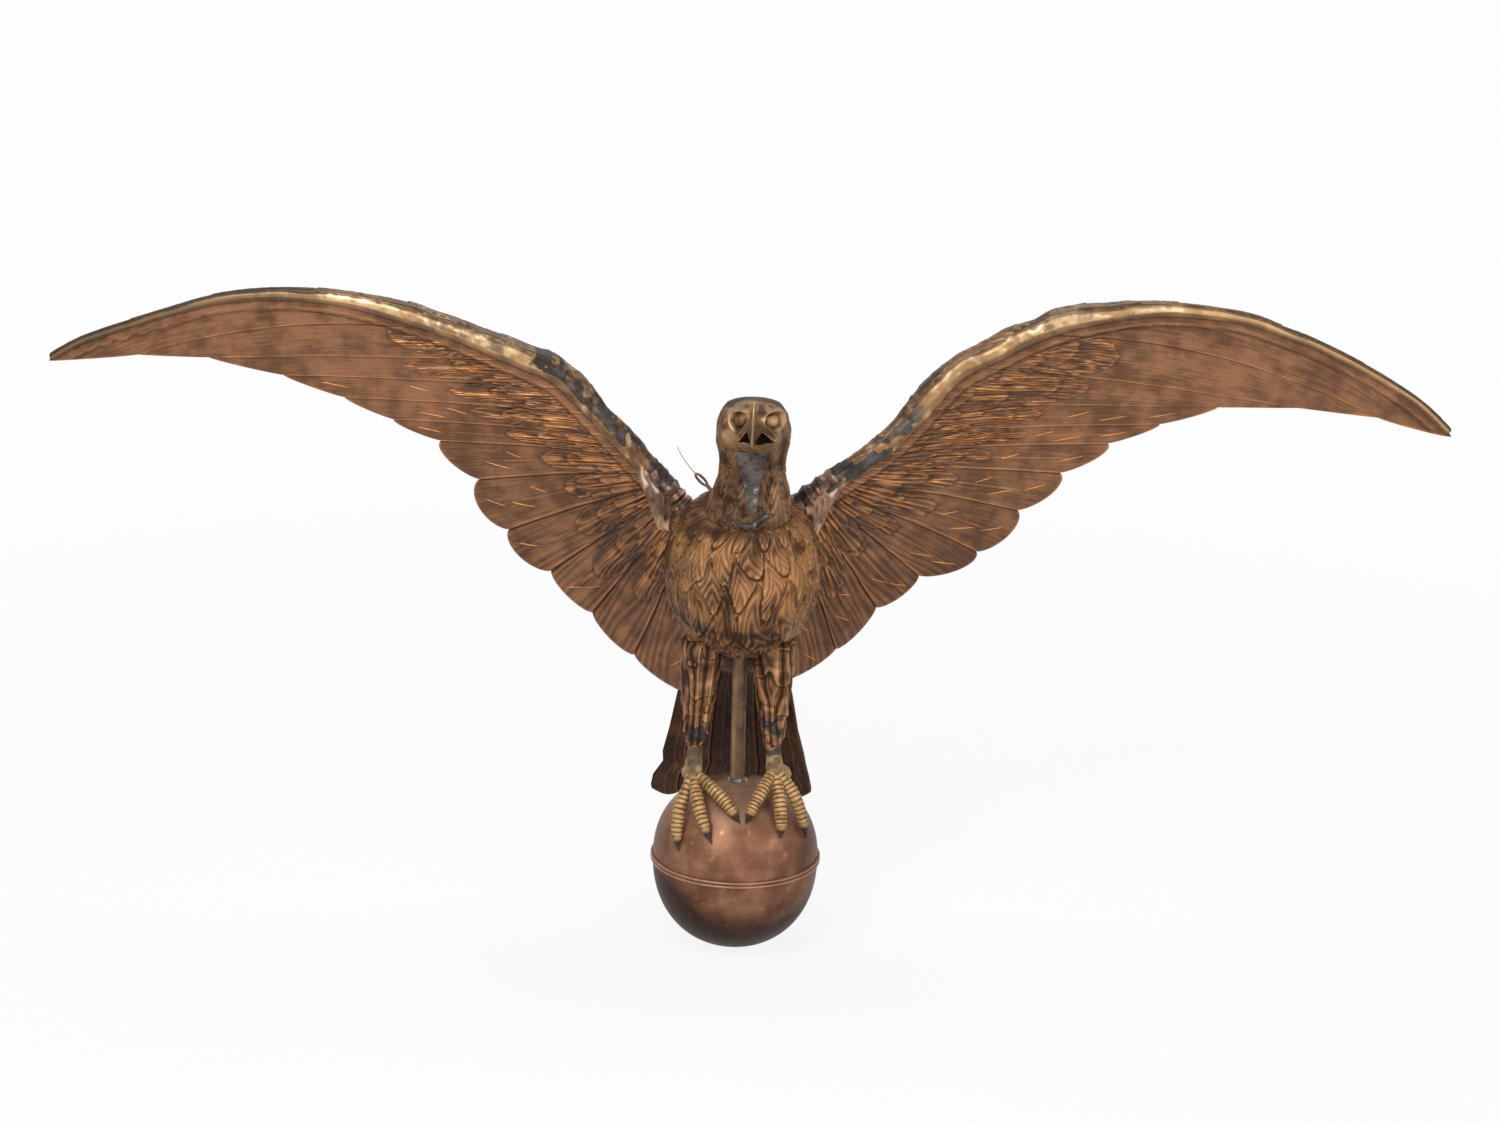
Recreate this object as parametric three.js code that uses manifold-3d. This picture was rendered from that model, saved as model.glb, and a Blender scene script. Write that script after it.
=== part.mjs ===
import * as THREE from 'three';
import { mergeVertices } from 'three/addons/utils/BufferGeometryUtils.js';
import Module from 'manifold-3d';

const wasm = await Module();
wasm.setup();

// Eagle weathervane of formed sheet copper, turning on a steel spindle.
// Millimetres, +Z up, the eagle faces -Y, and its own left wing is on +X.
// The origin is the centre of the spindle's lower end face.

// Stock and clearances
const SHEET = 1.4;
const GAP = 0.3;
const RUNNING_GAP = 0.4;
const LEAD_THICKNESS = 2.4;
const NECK_RING_SIZE = 4;
const CUT_OVERRUN = 8;

// Spindle and the tube that turns on it
const SPINDLE_RADIUS = 4;
const SPINDLE_LENGTH = 468;
const SPINDLE_PROUD = 2.5;
const TUBE_RADIUS = 7.9;
const TUBE_BORE_RADIUS = 6.2;
const CAP_RECESS = 14;
const CAP_ROOF = 6;
const BUSH_LENGTH = 26;
const TUBE_ABOVE_CAP = 8;

// Ball: two raised halves under a rolled seam band
const BALL_RADIUS = 92;
const BALL_UPPER_HEIGHT = 89;
const BALL_LOWER_HEIGHT = 102.5;
const BALL_EQUATOR = SPINDLE_PROUD + BALL_LOWER_HEIGHT;
const BALL_TOP = BALL_EQUATOR + BALL_UPPER_HEIGHT;
const BALL_FULLNESS_SHARE = 2.2;
const BAND_HEIGHT = 8;
const BAND_DEPTH = 2.6;
const COLLAR_HEIGHT = 4;
const COLLAR_DEPTH = 4.5;

// Body shell, lofted along an axis from the neck down to the tail root
const BODY_HALF_WIDTH = 85;
const BODY_HALF_DEPTH = 84;
const BODY_FRONT = -42;
const BODY_REACH = 150;
const BODY_RISE = 228;
const TAIL_ROOT_BELOW_SPINDLE_TOP = 168;
const TAIL_ROOT_HEIGHT = SPINDLE_LENGTH - TAIL_ROOT_BELOW_SPINDLE_TOP;
const BODY_TOP = TAIL_ROOT_HEIGHT + BODY_RISE;
const BODY_STATION_SHARES = [
  // reach, rise, half width, half depth
  [-0.02, 1.0, 0.24, 0.24],
  [0.012, 0.965, 0.48, 0.46],
  [0.053, 0.899, 0.74, 0.62],
  [0.133, 0.768, 0.94, 0.86],
  [0.227, 0.614, 1.0, 1.0],
  [0.36, 0.504, 0.965, 0.93],
  [0.547, 0.373, 0.847, 0.738],
  [0.693, 0.219, 0.659, 0.548],
  [0.867, 0.096, 0.494, 0.357],
  [1.0, 0.0, 0.4, 0.214],
];

// Neck and head, lofted upwards from the body's top
const HEAD_HALF_WIDTH = 38;
const HEAD_HALF_DEPTH = 35;
const HEAD_RISE = 136;
const NECK_SINK = 20;
const NECK_BASE_HEIGHT = BODY_TOP - NECK_SINK;
const NECK_DEPTH = -40;
const HEAD_FORWARD = -18;
const HEAD_LEAN = 8;
const HEAD_STATION_SHARES = [
  // rise, forward, lean, half width, half depth
  [-0.2, 0.0, 0.3, 1.2, 1.12],
  [0.0, 0.0, 0.5, 1.2, 1.12],
  [0.1, 0.02, 0.7, 1.16, 1.04],
  [0.24, 0.1, 0.85, 1.04, 0.93],
  [0.4, 0.22, 0.95, 0.9, 0.88],
  [0.53, 0.45, 1.0, 0.92, 0.93],
  [0.66, 0.72, 1.0, 1.0, 1.0],
  [0.8, 0.9, 1.0, 0.99, 0.98],
  [0.91, 1.0, 1.0, 0.86, 0.88],
  [0.97, 1.05, 1.0, 0.66, 0.7],
  [1.0, 1.08, 1.0, 0.3, 0.36],
];

// Face and beak, lofted forwards
const BEAK_LENGTH = 62;
const BEAK_ROOT_DEPTH = -73;
const BEAK_ABOVE_NECK = 95;
const BEAK_TIP_HEIGHT = NECK_BASE_HEIGHT + BEAK_ABOVE_NECK;
const BEAK_RISE = 40;
const BEAK_HALF_WIDTH = 27;
const BEAK_STATION_SHARES = [
  // forward, ridge height, side height, bottom height, half width
  [0.0, 0.96, 0.5, 0.16, 1.0],
  [0.3, 0.97, 0.5, 0.2, 0.86],
  [0.56, 0.82, 0.45, 0.27, 0.66],
  [0.76, 0.62, 0.38, 0.24, 0.4],
  [0.9, 0.42, 0.24, 0.06, 0.2],
  [1.0, 0.2, 0.1, 0.0, 0.06],
];
const MANDIBLE_HALF_WIDTH = 25;
const MANDIBLE_LENGTH = 40;
const MANDIBLE_HEIGHT = 18;
const MANDIBLE_ABOVE_NECK = 98;
const MANDIBLE_TOP = NECK_BASE_HEIGHT + MANDIBLE_ABOVE_NECK;
const EYE_RADIUS = 8;
const EYE_SPACING = 31;
const EYE_ABOVE_NECK = 117;
const EYE_HEIGHT = NECK_BASE_HEIGHT + EYE_ABOVE_NECK;
const EYE_DEPTH = -84;
const BROW_LENGTH = 30;
const BROW_THICKNESS = 9;
const BROW_ABOVE_EYE = 8;
const THROAT_TOP_HALF_WIDTH = 17;
const THROAT_BOTTOM_HALF_WIDTH = 5;
const THROAT_TOP_ABOVE_NECK = 78;
const THROAT_TOP = NECK_BASE_HEIGHT + THROAT_TOP_ABOVE_NECK;
const THROAT_BOTTOM_ABOVE_NECK = 14;
const THROAT_BOTTOM = NECK_BASE_HEIGHT + THROAT_BOTTOM_ABOVE_NECK;

// Wings
const HALF_SPAN = 765;
const SHOULDER_SINK = 8;
const SHOULDER_HEIGHT = BODY_TOP - SHOULDER_SINK;
const WING_RISE = 218;
const LEAD_DEPTH = 10;
const LEAD_SWEEP = 40;
const ROLL_RADIUS = 14;
const LIP_SHARE = 0.82;
const WING_TAPER = 90;
const FEATHER_STEP = 1.5;
const STEP_RUN_SHARE = 0.04;
const LOBE_POINT_SHARE = 1.2;
const CHORD_SLOPE_SHARE = 0.35;
const TOP_BOW_SHARE = 0.06;
const ROLL_RADIUS_SHARES = [
  // out, roll radius
  [0.0, 0.75],
  [0.08, 0.75],
  [0.2, 0.9],
  [0.35, 1.0],
  [0.5, 0.8],
  [0.57, 0.6],
  [0.75, 0.42],
  [1.0, 0.3],
];
// Where each feather boundary meets the leading edge, tip to root
const ANCHOR_OUT_SHARES = [
  0.995, 0.388, 0.305, 0.242, 0.2065, 0.178, 0.152, 0.132, 0.118, 0.106, 0.09, 0.066, 0.044,
];
const FEATHERS = 12;
const WINGS = {
  left: {
    sign: 1,
    // out, up: the top outline, tip to root
    leadShares: [
      [1.004, 0.373], [0.952, 0.531], [0.879, 0.686], [0.807, 0.811], [0.755, 0.881], [0.702, 0.948],
      [0.626, 0.987], [0.571, 0.999], [0.494, 0.987], [0.412, 0.919], [0.355, 0.832], [0.28, 0.679],
      [0.223, 0.442], [0.18, 0.279], [0.122, 0.12], [0.075, -0.005], [0.035, -0.11],
    ],
    // out, up: the notches between feather tips, tip to root
    notchShares: [
      [1.003, 0.34], [0.899, 0.413], [0.787, 0.443], [0.672, 0.428], [0.592, 0.325], [0.519, 0.21],
      [0.454, 0.042], [0.397, -0.172], [0.341, -0.409], [0.258, -0.533], [0.197, -0.695],
      [0.14, -0.929], [0.066, -1.096],
    ],
    // how far each feather tip swells past its notches
    lobeShares: [0.11, 0.06, 0.05, 0.14, 0.16, 0.25, 0.26, 0.24, 0.24, 0.15, 0.11, 0.1],
  },
  right: {
    sign: -1,
    leadShares: [
      [0.991, 0.57], [0.939, 0.675], [0.836, 0.809], [0.764, 0.894], [0.705, 0.936], [0.64, 0.954],
      [0.576, 0.947], [0.492, 0.908], [0.402, 0.826], [0.322, 0.724], [0.259, 0.625], [0.213, 0.475],
      [0.154, 0.25], [0.1, 0.04], [0.078, -0.05], [0.035, -0.125],
    ],
    notchShares: [
      [0.99, 0.54], [0.865, 0.575], [0.765, 0.563], [0.661, 0.474], [0.575, 0.362], [0.505, 0.25],
      [0.437, 0.144], [0.383, -0.063], [0.342, -0.344], [0.281, -0.571], [0.22, -0.791],
      [0.157, -1.008], [0.066, -1.185],
    ],
    lobeShares: [0.05, 0.08, 0.09, 0.1, 0.12, 0.18, 0.24, 0.28, 0.24, 0.14, 0.14, 0.14],
  },
};
const COLLAR_WRAP_SHARES = [0.052, 0.132];
const WING_COLLAR_THICKNESS = 1.8;
const COLLAR_FOLD_SHARE = 0.5;
const TIP_ROUND_SHARE = 0.5;

// Spar: one iron rod bent through both leading-edge rolls
const SPAR_RADIUS = 4;
const SPAR_REACH_SHARES = [0.075, 0.46];
const SPAR_ABOVE_SPINDLE = 18;
const SPAR_CROSSING_HEIGHT = SPINDLE_LENGTH + SPAR_ABOVE_SPINDLE;
const SPAR_CROSSING_DEPTH = 13;
const CLAMP_WIDTH = 30;
const CLAMP_HEIGHT = 18;
const CLAMP_WALL = 3.5;

// Tail: two sheets, straight back and down from the body
const TAIL_DROP = 212;
const TAIL_HALF_WIDTH = 91;
const TAIL_ROOT_SINK = 6;
const TAIL_ROOT_DEPTH = BODY_FRONT + BODY_REACH - TAIL_ROOT_SINK;
const TAIL_SLOPE_SHARE = 0.367;
const TAIL_SWELL = 12;
const TAIL_TOP_ABOVE_ROOT = 18;
const TAIL_TOP = TAIL_ROOT_HEIGHT + TAIL_TOP_ABOVE_ROOT;
const TAIL_SCALLOP = 5;
const TAIL_FEATHERS = 6;
const TAIL_EDGE_SHARES = [
  // down, left edge, right edge
  [0.0, -0.5, 0.5],
  [0.3, -0.775, 0.66],
  [0.55, -0.88, 0.755],
  [0.7, -0.96, 0.84],
  [0.77, -0.955, 0.87],
  [0.86, -1.08, 0.92],
  [0.93, -1.11, 0.95],
  [1.0, -1.07, 0.94],
];

// Legs
const THIGH_HALF_WIDTH = 23;
const THIGH_HALF_DEPTH = 28;
const ANKLE_ABOVE_BALL = 46;
const ANKLE_HEIGHT = BALL_TOP + ANKLE_ABOVE_BALL;
const HIP_ABOVE_TAIL_ROOT = 52;
const THIGH_TOP = TAIL_ROOT_HEIGHT + HIP_ABOVE_TAIL_ROOT;
const THIGH_DROP = THIGH_TOP - ANKLE_HEIGHT;
const THIGH_RIB_SHARE = 0.06;
const THIGH_STATION_SHARES = [
  // down, half width, half depth, lean towards the ankle
  [0.0, 1.0, 1.0, 0.0],
  [0.3, 0.88, 0.86, 0.3],
  [0.55, 0.74, 0.68, 0.5],
  [0.78, 0.56, 0.52, 0.8],
  [0.92, 0.45, 0.42, 0.95],
  [1.0, 0.4, 0.36, 1.0],
];
const TARSUS_RADIUS = 8;
const KNUCKLE_RADIUS = 9.5;
const TOE_RADIUS = 6.6;
const CLAW_TIP_RADIUS = 1.6;
const TOE_RING_SHARE = 0.09;
const LEG_SPREAD = 48;
const FOOT_FORWARD = -30;
const KNUCKLE_ABOVE_BALL = 18;
const KNUCKLE_HEIGHT = BALL_TOP + KNUCKLE_ABOVE_BALL;
const TOE_ARCH = 20;
const LEGS = {
  // places as shares of the spread, the forward reach and the knuckle's height, then the toes:
  // ball directions in degrees (turn from the front, tilt from the top) of arch and claw tip
  right: {
    hipShares: [-0.875, 0.2],
    ankleShares: [-0.98, 0.73],
    knuckleShares: [-1, 1, 1],
    toes: [
      { liftShare: 0.95, arch: [-49, 53.8], tip: [-43.6, 71.7] },
      { liftShare: 1.05, arch: [-33, 43.7], tip: [-18.2, 61.8] },
      { liftShare: 1, arch: [-12, 33.5], tip: [3.2, 46.2] },
      { liftShare: 1.1, arch: [-130, 44], tip: [-142, 50] },
    ],
  },
  left: {
    hipShares: [0.77, 0.2],
    ankleShares: [0.79, 0.73],
    knuckleShares: [0.854, 1, 1.033],
    toes: [
      { liftShare: 1.4, arch: [57, 43.3], tip: [62.2, 66.3] },
      { liftShare: 0.8, arch: [39.6, 45.9], tip: [36.7, 60.0] },
      { liftShare: 0.95, arch: [20, 35], tip: [9.4, 46.2] },
      { liftShare: 1.1, arch: [130, 44], tip: [142, 50] },
    ],
  },
};

// Twisted wire left at the right shoulder: an eye on a shank, with a thin free end
const WIRE_RADIUS = 1.0;
const SHANK_RADIUS = 1.8;
const SHANK_REACH = 14;
const WIRE_END_RADIUS = 0.45;
const SHANK_FOOT_OUT = -38;
const SHANK_FOOT_DEPTH = 10;
const SHANK_FOOT_ABOVE_SHOULDER = 4;
const SHANK_FOOT_HEIGHT = SHOULDER_HEIGHT + SHANK_FOOT_ABOVE_SHOULDER;
const LOOP_OUT = -47;
const LOOP_DEPTH = 14;
const LOOP_ABOVE_SHOULDER = 13;
const LOOP_HEIGHT = SHOULDER_HEIGHT + LOOP_ABOVE_SHOULDER;
const LOOP_HALF_LENGTH = 8.6;
const LOOP_HALF_WIDTH = 2.6;
const WIRE_END_RISE = 30;
const WIRE_END_OUT = 21;
const WIRE_END_BOW = 3;

// Counts
const ROUND_SIDES = 24;
const BALL_SIDES = 28;
const BALL_ARC_STEPS = 5;
const BODY_SIDES = 18;
const HEAD_SIDES = 16;
const BOSS_SIDES = 8;
const ROLL_SIDES = 8;
const ROLL_STEPS = 18;
const WIRE_SIDES = 6;
const LOOP_STEPS = 12;
const FEATHER_COLUMNS = 4;
const TAIL_FEATHER_COLUMNS = 3;
const CONTOUR_SAMPLES = 240;
const COLLAR_SAMPLE_STEP = 7;
const WING_ROW_SHARES = [0, 0.1, 0.36, 1];
const TAIL_ROW_SHARES = [0, 0.2, 0.7, 0.86, 1];
const TOE_STEPS = 12;
const TOE_SIDES = 6;
const MERGE_TOLERANCE = 1e-4;
const SMALLEST_DETAIL = 0.03;
const FULL_TURN = 2 * Math.PI;

// Derived places
const EDGE_HALF = SHEET + GAP / 2;
const CAP_TOP = SPINDLE_LENGTH + GAP + CAP_ROOF;
const TUBE_TOP = CAP_TOP + TUBE_ABOVE_CAP;

const COPPER = { color: 0x7a4a2c, roughness: 0.45, metalness: 0.8 };
const GILT = { color: 0x9c7436, roughness: 0.42, metalness: 0.8 };
const LEAD = { color: 0x4e5558, roughness: 0.6, metalness: 0.6 };
const IRON = { color: 0x6b5542, roughness: 0.6, metalness: 0.7 };
const STEEL = { color: 0x8d9094, roughness: 0.35, metalness: 0.9 };
const BALL_COPPER = { color: 0x7d5648, roughness: 0.42, metalness: 0.75 };

// Geometry helpers

/** The value of a table of [position, value...] rows at a position, by straight lines. */
function tableAt(table, position, column) {
  const last = table.length - 1;
  const rising = table[last][0] > table[0][0];
  for (let row = 0; row < last; row += 1) {
    const start = table[row];
    const end = table[row + 1];
    const inside = rising ? position <= end[0] : position >= end[0];
    if (inside || row === last - 1) {
      const share = THREE.MathUtils.clamp((position - start[0]) / (end[0] - start[0]), 0, 1);
      return THREE.MathUtils.lerp(start[column], end[column], share);
    }
  }
  return table[last][column];
}

/** A closed, outward-facing geometry from points and triangles of indices. */
function closedGeometry(points, triangles) {
  const geometry = new THREE.BufferGeometry();
  const numbers = points.flatMap((point) => point.toArray());
  geometry.setAttribute('position', new THREE.Float32BufferAttribute(numbers, 3));
  geometry.setIndex(triangles.flat());
  return geometry;
}

/** Six times the signed volume of an indexed geometry. */
function signedVolume(positions, indices) {
  let total = 0;
  const a = new THREE.Vector3();
  const b = new THREE.Vector3();
  const c = new THREE.Vector3();
  for (let i = 0; i < indices.length; i += 3) {
    a.fromArray(positions, 3 * indices[i]);
    b.fromArray(positions, 3 * indices[i + 1]);
    c.fromArray(positions, 3 * indices[i + 2]);
    total += a.dot(b.cross(c));
  }
  return total;
}

/** A solid of the library that joins and cuts, from a closed geometry. */
function solid(geometry) {
  const bare = geometry.clone();
  bare.deleteAttribute('normal');
  bare.deleteAttribute('uv');
  const merged = mergeVertices(bare, MERGE_TOLERANCE);
  const positions = merged.attributes.position.array;
  const triangles = [];
  const source = merged.index.array;
  for (let i = 0; i < source.length; i += 3) {
    const [a, b, c] = [source[i], source[i + 1], source[i + 2]];
    if (a !== b && b !== c && c !== a) triangles.push(a, b, c);
  }
  if (signedVolume(positions, triangles) < 0) triangles.reverse();
  return new wasm.Manifold(new wasm.Mesh({
    numProp: 3,
    vertProperties: Float32Array.from(positions),
    triVerts: Uint32Array.from(triangles),
  }));
}

/** The largest single body of a cut solid, so that no crumb stays beside it. */
function largestBody(cutSolid) {
  const bodies = cutSolid.decompose();
  return bodies.reduce((best, body) => (body.volume() > best.volume() ? body : best), bodies[0]);
}

/** A named mesh with its own material, from a solid or a geometry, without its smallest slivers. */
function piece(name, shape, finish) {
  const body = shape instanceof THREE.BufferGeometry ? solid(shape) : shape;
  const mesh = largestBody(body).simplify(SMALLEST_DETAIL).getMesh();
  const geometry = new THREE.BufferGeometry();
  geometry.setAttribute('position', new THREE.BufferAttribute(Float32Array.from(mesh.vertProperties), 3));
  geometry.setIndex(new THREE.BufferAttribute(Uint32Array.from(mesh.triVerts), 1));
  geometry.computeVertexNormals();
  const result = new THREE.Mesh(geometry, new THREE.MeshStandardMaterial(finish));
  result.name = name;
  return result;
}

/** The union of several solids. */
function joined(solids) {
  return solids.reduce((total, next) => total.add(next));
}

/** A closed loft through rings of equal point counts, capped at both ends. */
function loft(rings) {
  const sides = rings[0].length;
  const points = rings.flat();
  const triangles = [];
  for (let ring = 0; ring < rings.length - 1; ring += 1) {
    for (let side = 0; side < sides; side += 1) {
      const a = ring * sides + side;
      const b = ring * sides + ((side + 1) % sides);
      triangles.push([a, b, b + sides], [a, b + sides, a + sides]);
    }
  }
  const capEnd = (start, flip) => {
    const centre = new THREE.Vector3();
    for (let side = 0; side < sides; side += 1) centre.add(points[start + side]);
    points.push(centre.divideScalar(sides));
    for (let side = 0; side < sides; side += 1) {
      const a = start + side;
      const b = start + ((side + 1) % sides);
      triangles.push(flip ? [points.length - 1, b, a] : [points.length - 1, a, b]);
    }
  };
  capEnd(0, true);
  capEnd((rings.length - 1) * sides, false);
  return solid(closedGeometry(points, triangles));
}

/** A ring of points: an ellipse about a centre, spanned by two unit vectors. */
function ellipseRing(centre, across, away, halfWidth, halfDepth, sides, ripple = 0) {
  const ring = [];
  for (let side = 0; side < sides; side += 1) {
    const angle = (FULL_TURN * side) / sides;
    const scale = 1 + ripple * (side % 2 === 0 ? 1 : -1);
    ring.push(centre.clone()
      .addScaledVector(across, scale * halfWidth * Math.cos(angle))
      .addScaledVector(away, scale * halfDepth * Math.sin(angle)));
  }
  return ring;
}

/** A loft of circles along a list of points, each circle square to the path. */
function roundSweep(path, radii, sides) {
  const curve = new THREE.CatmullRomCurve3(path);
  const start = curve.getTangent(0);
  const carried = Math.abs(start.y) > 0.8 ? new THREE.Vector3(1, 0, 0) : new THREE.Vector3(0, 1, 0);
  const rings = path.map((point, index) => {
    const tangent = curve.getTangent(index / (path.length - 1));
    carried.addScaledVector(tangent, -carried.dot(tangent)).normalize();
    const away = new THREE.Vector3().crossVectors(tangent, carried);
    return ellipseRing(point, carried.clone(), away, radii[index], radii[index], sides);
  });
  return loft(rings);
}

/** A solid turned about the vertical through the origin. */
function turned(profile, sides) {
  return solid(new THREE.LatheGeometry(profile.map(([r, z]) => new THREE.Vector2(r, z)), sides)
    .rotateX(Math.PI / 2));
}

/** A ring or tube with straight walls, between two heights. */
function tube(outer, bore, bottom, top, sides = ROUND_SIDES) {
  return turned([[bore, bottom], [outer, bottom], [outer, top], [bore, top], [bore, bottom]], sides);
}

/** A solid cylinder between two heights. */
function rod(radius, bottom, top, sides = ROUND_SIDES) {
  return turned([[0, bottom], [radius, bottom], [radius, top], [0, top]], sides);
}

/** A solid ellipsoid, turned about Y by an angle. */
function ellipsoid(centre, halfX, halfY, halfZ, turn = 0) {
  const geometry = new THREE.SphereGeometry(1, BOSS_SIDES, BOSS_SIDES - 2);
  geometry.scale(halfX, halfY, halfZ);
  geometry.rotateY(turn);
  geometry.translate(centre.x, centre.y, centre.z);
  return solid(geometry);
}

/** A solid box between two corners. */
function box(low, high) {
  const size = new THREE.Vector3().subVectors(high, low);
  const centre = new THREE.Vector3().addVectors(low, high).multiplyScalar(0.5);
  return solid(new THREE.BoxGeometry(size.x, size.y, size.z).translate(centre.x, centre.y, centre.z));
}

/** A thin solid between two grids of points, [column][row], split alike and joined along the border. */
function plate(front, back) {
  const columns = front.length;
  const rows = front[0].length;
  const points = [...front.flat(), ...back.flat()];
  const offset = columns * rows;
  const triangles = [];
  const quad = (a, b, c, d) => triangles.push([a, b, c], [a, c, d]);
  const at = (column, row) => column * rows + row;
  for (let column = 0; column < columns - 1; column += 1) {
    for (let row = 0; row < rows - 1; row += 1) {
      const corners = [at(column, row), at(column + 1, row), at(column + 1, row + 1), at(column, row + 1)];
      const [a, b, c, d] = corners.map((index) => index + offset);
      quad(...corners);
      quad(a, d, c, b);
    }
    quad(at(column + 1, 0), at(column, 0), at(column, 0) + offset, at(column + 1, 0) + offset);
    const end = rows - 1;
    quad(at(column, end), at(column + 1, end), at(column + 1, end) + offset, at(column, end) + offset);
  }
  for (let row = 0; row < rows - 1; row += 1) {
    quad(at(0, row), at(0, row + 1), at(0, row + 1) + offset, at(0, row) + offset);
    const last = columns - 1;
    quad(at(last, row + 1), at(last, row), at(last, row) + offset, at(last, row + 1) + offset);
  }
  return solid(closedGeometry(points, triangles));
}

/** The ball's outline at an angle from its pole: shares of its radius and of its height. */
function ballShares(angle) {
  const flat = Math.sin(angle);
  const rise = Math.abs(Math.cos(angle));
  const reach = (flat ** BALL_FULLNESS_SHARE + rise ** BALL_FULLNESS_SHARE) ** (-1 / BALL_FULLNESS_SHARE);
  return { flat: flat * reach, rise: rise * reach };
}

/** A point above the ball's upper half, at a turn from the front and a tilt from the top. */
function onBall(turnDegrees, tiltDegrees, lift) {
  const turn = THREE.MathUtils.degToRad(turnDegrees);
  const { flat, rise } = ballShares(THREE.MathUtils.degToRad(tiltDegrees));
  const radius = (BALL_RADIUS + lift) * flat;
  return new THREE.Vector3(
    radius * Math.sin(turn),
    -radius * Math.cos(turn),
    BALL_EQUATOR + (BALL_UPPER_HEIGHT + lift) * rise,
  );
}

// Bearing

function makeSpindle() {
  return piece('spindle', rod(SPINDLE_RADIUS, 0, SPINDLE_LENGTH), STEEL);
}

function makePivotTube() {
  return piece('pivot_tube', tube(TUBE_RADIUS, TUBE_BORE_RADIUS, SPINDLE_PROUD, TUBE_TOP), IRON);
}

function makePivotCap() {
  const outer = TUBE_BORE_RADIUS - GAP;
  const recess = SPINDLE_RADIUS + RUNNING_GAP;
  const mouth = SPINDLE_LENGTH + GAP - CAP_RECESS;
  const roof = SPINDLE_LENGTH + GAP;
  const inside = [[0, roof], [recess, roof], [recess, mouth]];
  const outside = [[outer, mouth], [outer, CAP_TOP], [0, CAP_TOP]];
  return piece('pivot_cap', turned([...inside, ...outside], ROUND_SIDES), STEEL);
}

function makeGuideBush() {
  const bore = SPINDLE_RADIUS + RUNNING_GAP;
  const bottom = SPINDLE_PROUD;
  return piece('guide_bush', tube(TUBE_BORE_RADIUS - GAP, bore, bottom, bottom + BUSH_LENGTH), STEEL);
}

// Ball

/** The whole ball's outline, pole to pole, grown by an offset. */
function ballOutline(offset) {
  const steps = 2 * BALL_ARC_STEPS;
  const outline = [];
  for (let step = 0; step <= steps; step += 1) {
    const isUpper = step > BALL_ARC_STEPS;
    const height = (isUpper ? BALL_UPPER_HEIGHT : BALL_LOWER_HEIGHT) + offset;
    const { flat, rise } = ballShares((Math.PI * step) / steps);
    const radius = step % steps === 0 ? 0 : (BALL_RADIUS + offset) * flat;
    outline.push([radius, BALL_EQUATOR + (isUpper ? height : -height) * rise]);
  }
  return outline;
}

/** One raised half of the ball: an arc from the tube's hole to the seam, and back inside. */
function ballHalf(name, height, direction) {
  const hole = TUBE_RADIUS + GAP;
  const seam = BALL_EQUATOR + (direction * GAP) / 2;
  const arc = (radius, rise) => {
    const startAngle = Math.atan(hole / radius);
    const points = [];
    for (let step = 0; step <= BALL_ARC_STEPS; step += 1) {
      const shares = ballShares(THREE.MathUtils.lerp(startAngle, Math.PI / 2, step / BALL_ARC_STEPS));
      const z = step === BALL_ARC_STEPS ? seam : seam + direction * rise * shares.rise;
      points.push([step === 0 ? hole : radius * shares.flat, z]);
    }
    return points;
  };
  const outer = arc(BALL_RADIUS, height);
  const inner = arc(BALL_RADIUS - SHEET, height - SHEET).reverse();
  return piece(name, turned([...outer, ...inner, outer[0]], BALL_SIDES), BALL_COPPER);
}

/** The rolled band over the seam: two beads with a hollow between them. */
function makeSeamBand() {
  const inner = BALL_RADIUS + GAP;
  const outer = inner + BAND_DEPTH;
  const waist = inner + BAND_DEPTH * 0.6;
  const half = BAND_HEIGHT / 2;
  const profile = [
    [inner, -half], [waist, -half], [outer, -half * 0.75], [outer, -half * 0.3], [waist, 0],
    [outer, half * 0.3], [outer, half * 0.75], [waist, half], [inner, half], [inner, -half],
  ].map(([r, z]) => [r, BALL_EQUATOR + z]);
  return piece('ball_seam_band', turned(profile, BALL_SIDES), BALL_COPPER);
}

/** The solder collar round the tube's foot, standing on the ball. */
function makeTubeCollar() {
  const inner = TUBE_RADIUS + GAP;
  const outer = inner + COLLAR_DEPTH;
  const surface = (radius) => {
    const flat = (radius / BALL_RADIUS) ** BALL_FULLNESS_SHARE;
    return BALL_EQUATOR + GAP + BALL_UPPER_HEIGHT * (1 - flat) ** (1 / BALL_FULLNESS_SHARE);
  };
  const foot = [[inner, surface(inner)], [outer, surface(outer)]];
  const rim = surface(inner) + COLLAR_HEIGHT;
  const crown = [[inner + COLLAR_DEPTH * 0.3, rim], [inner, rim]];
  return piece('tube_solder_collar', turned([...foot, ...crown, foot[0]], ROUND_SIDES), LEAD);
}

// Body

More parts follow.
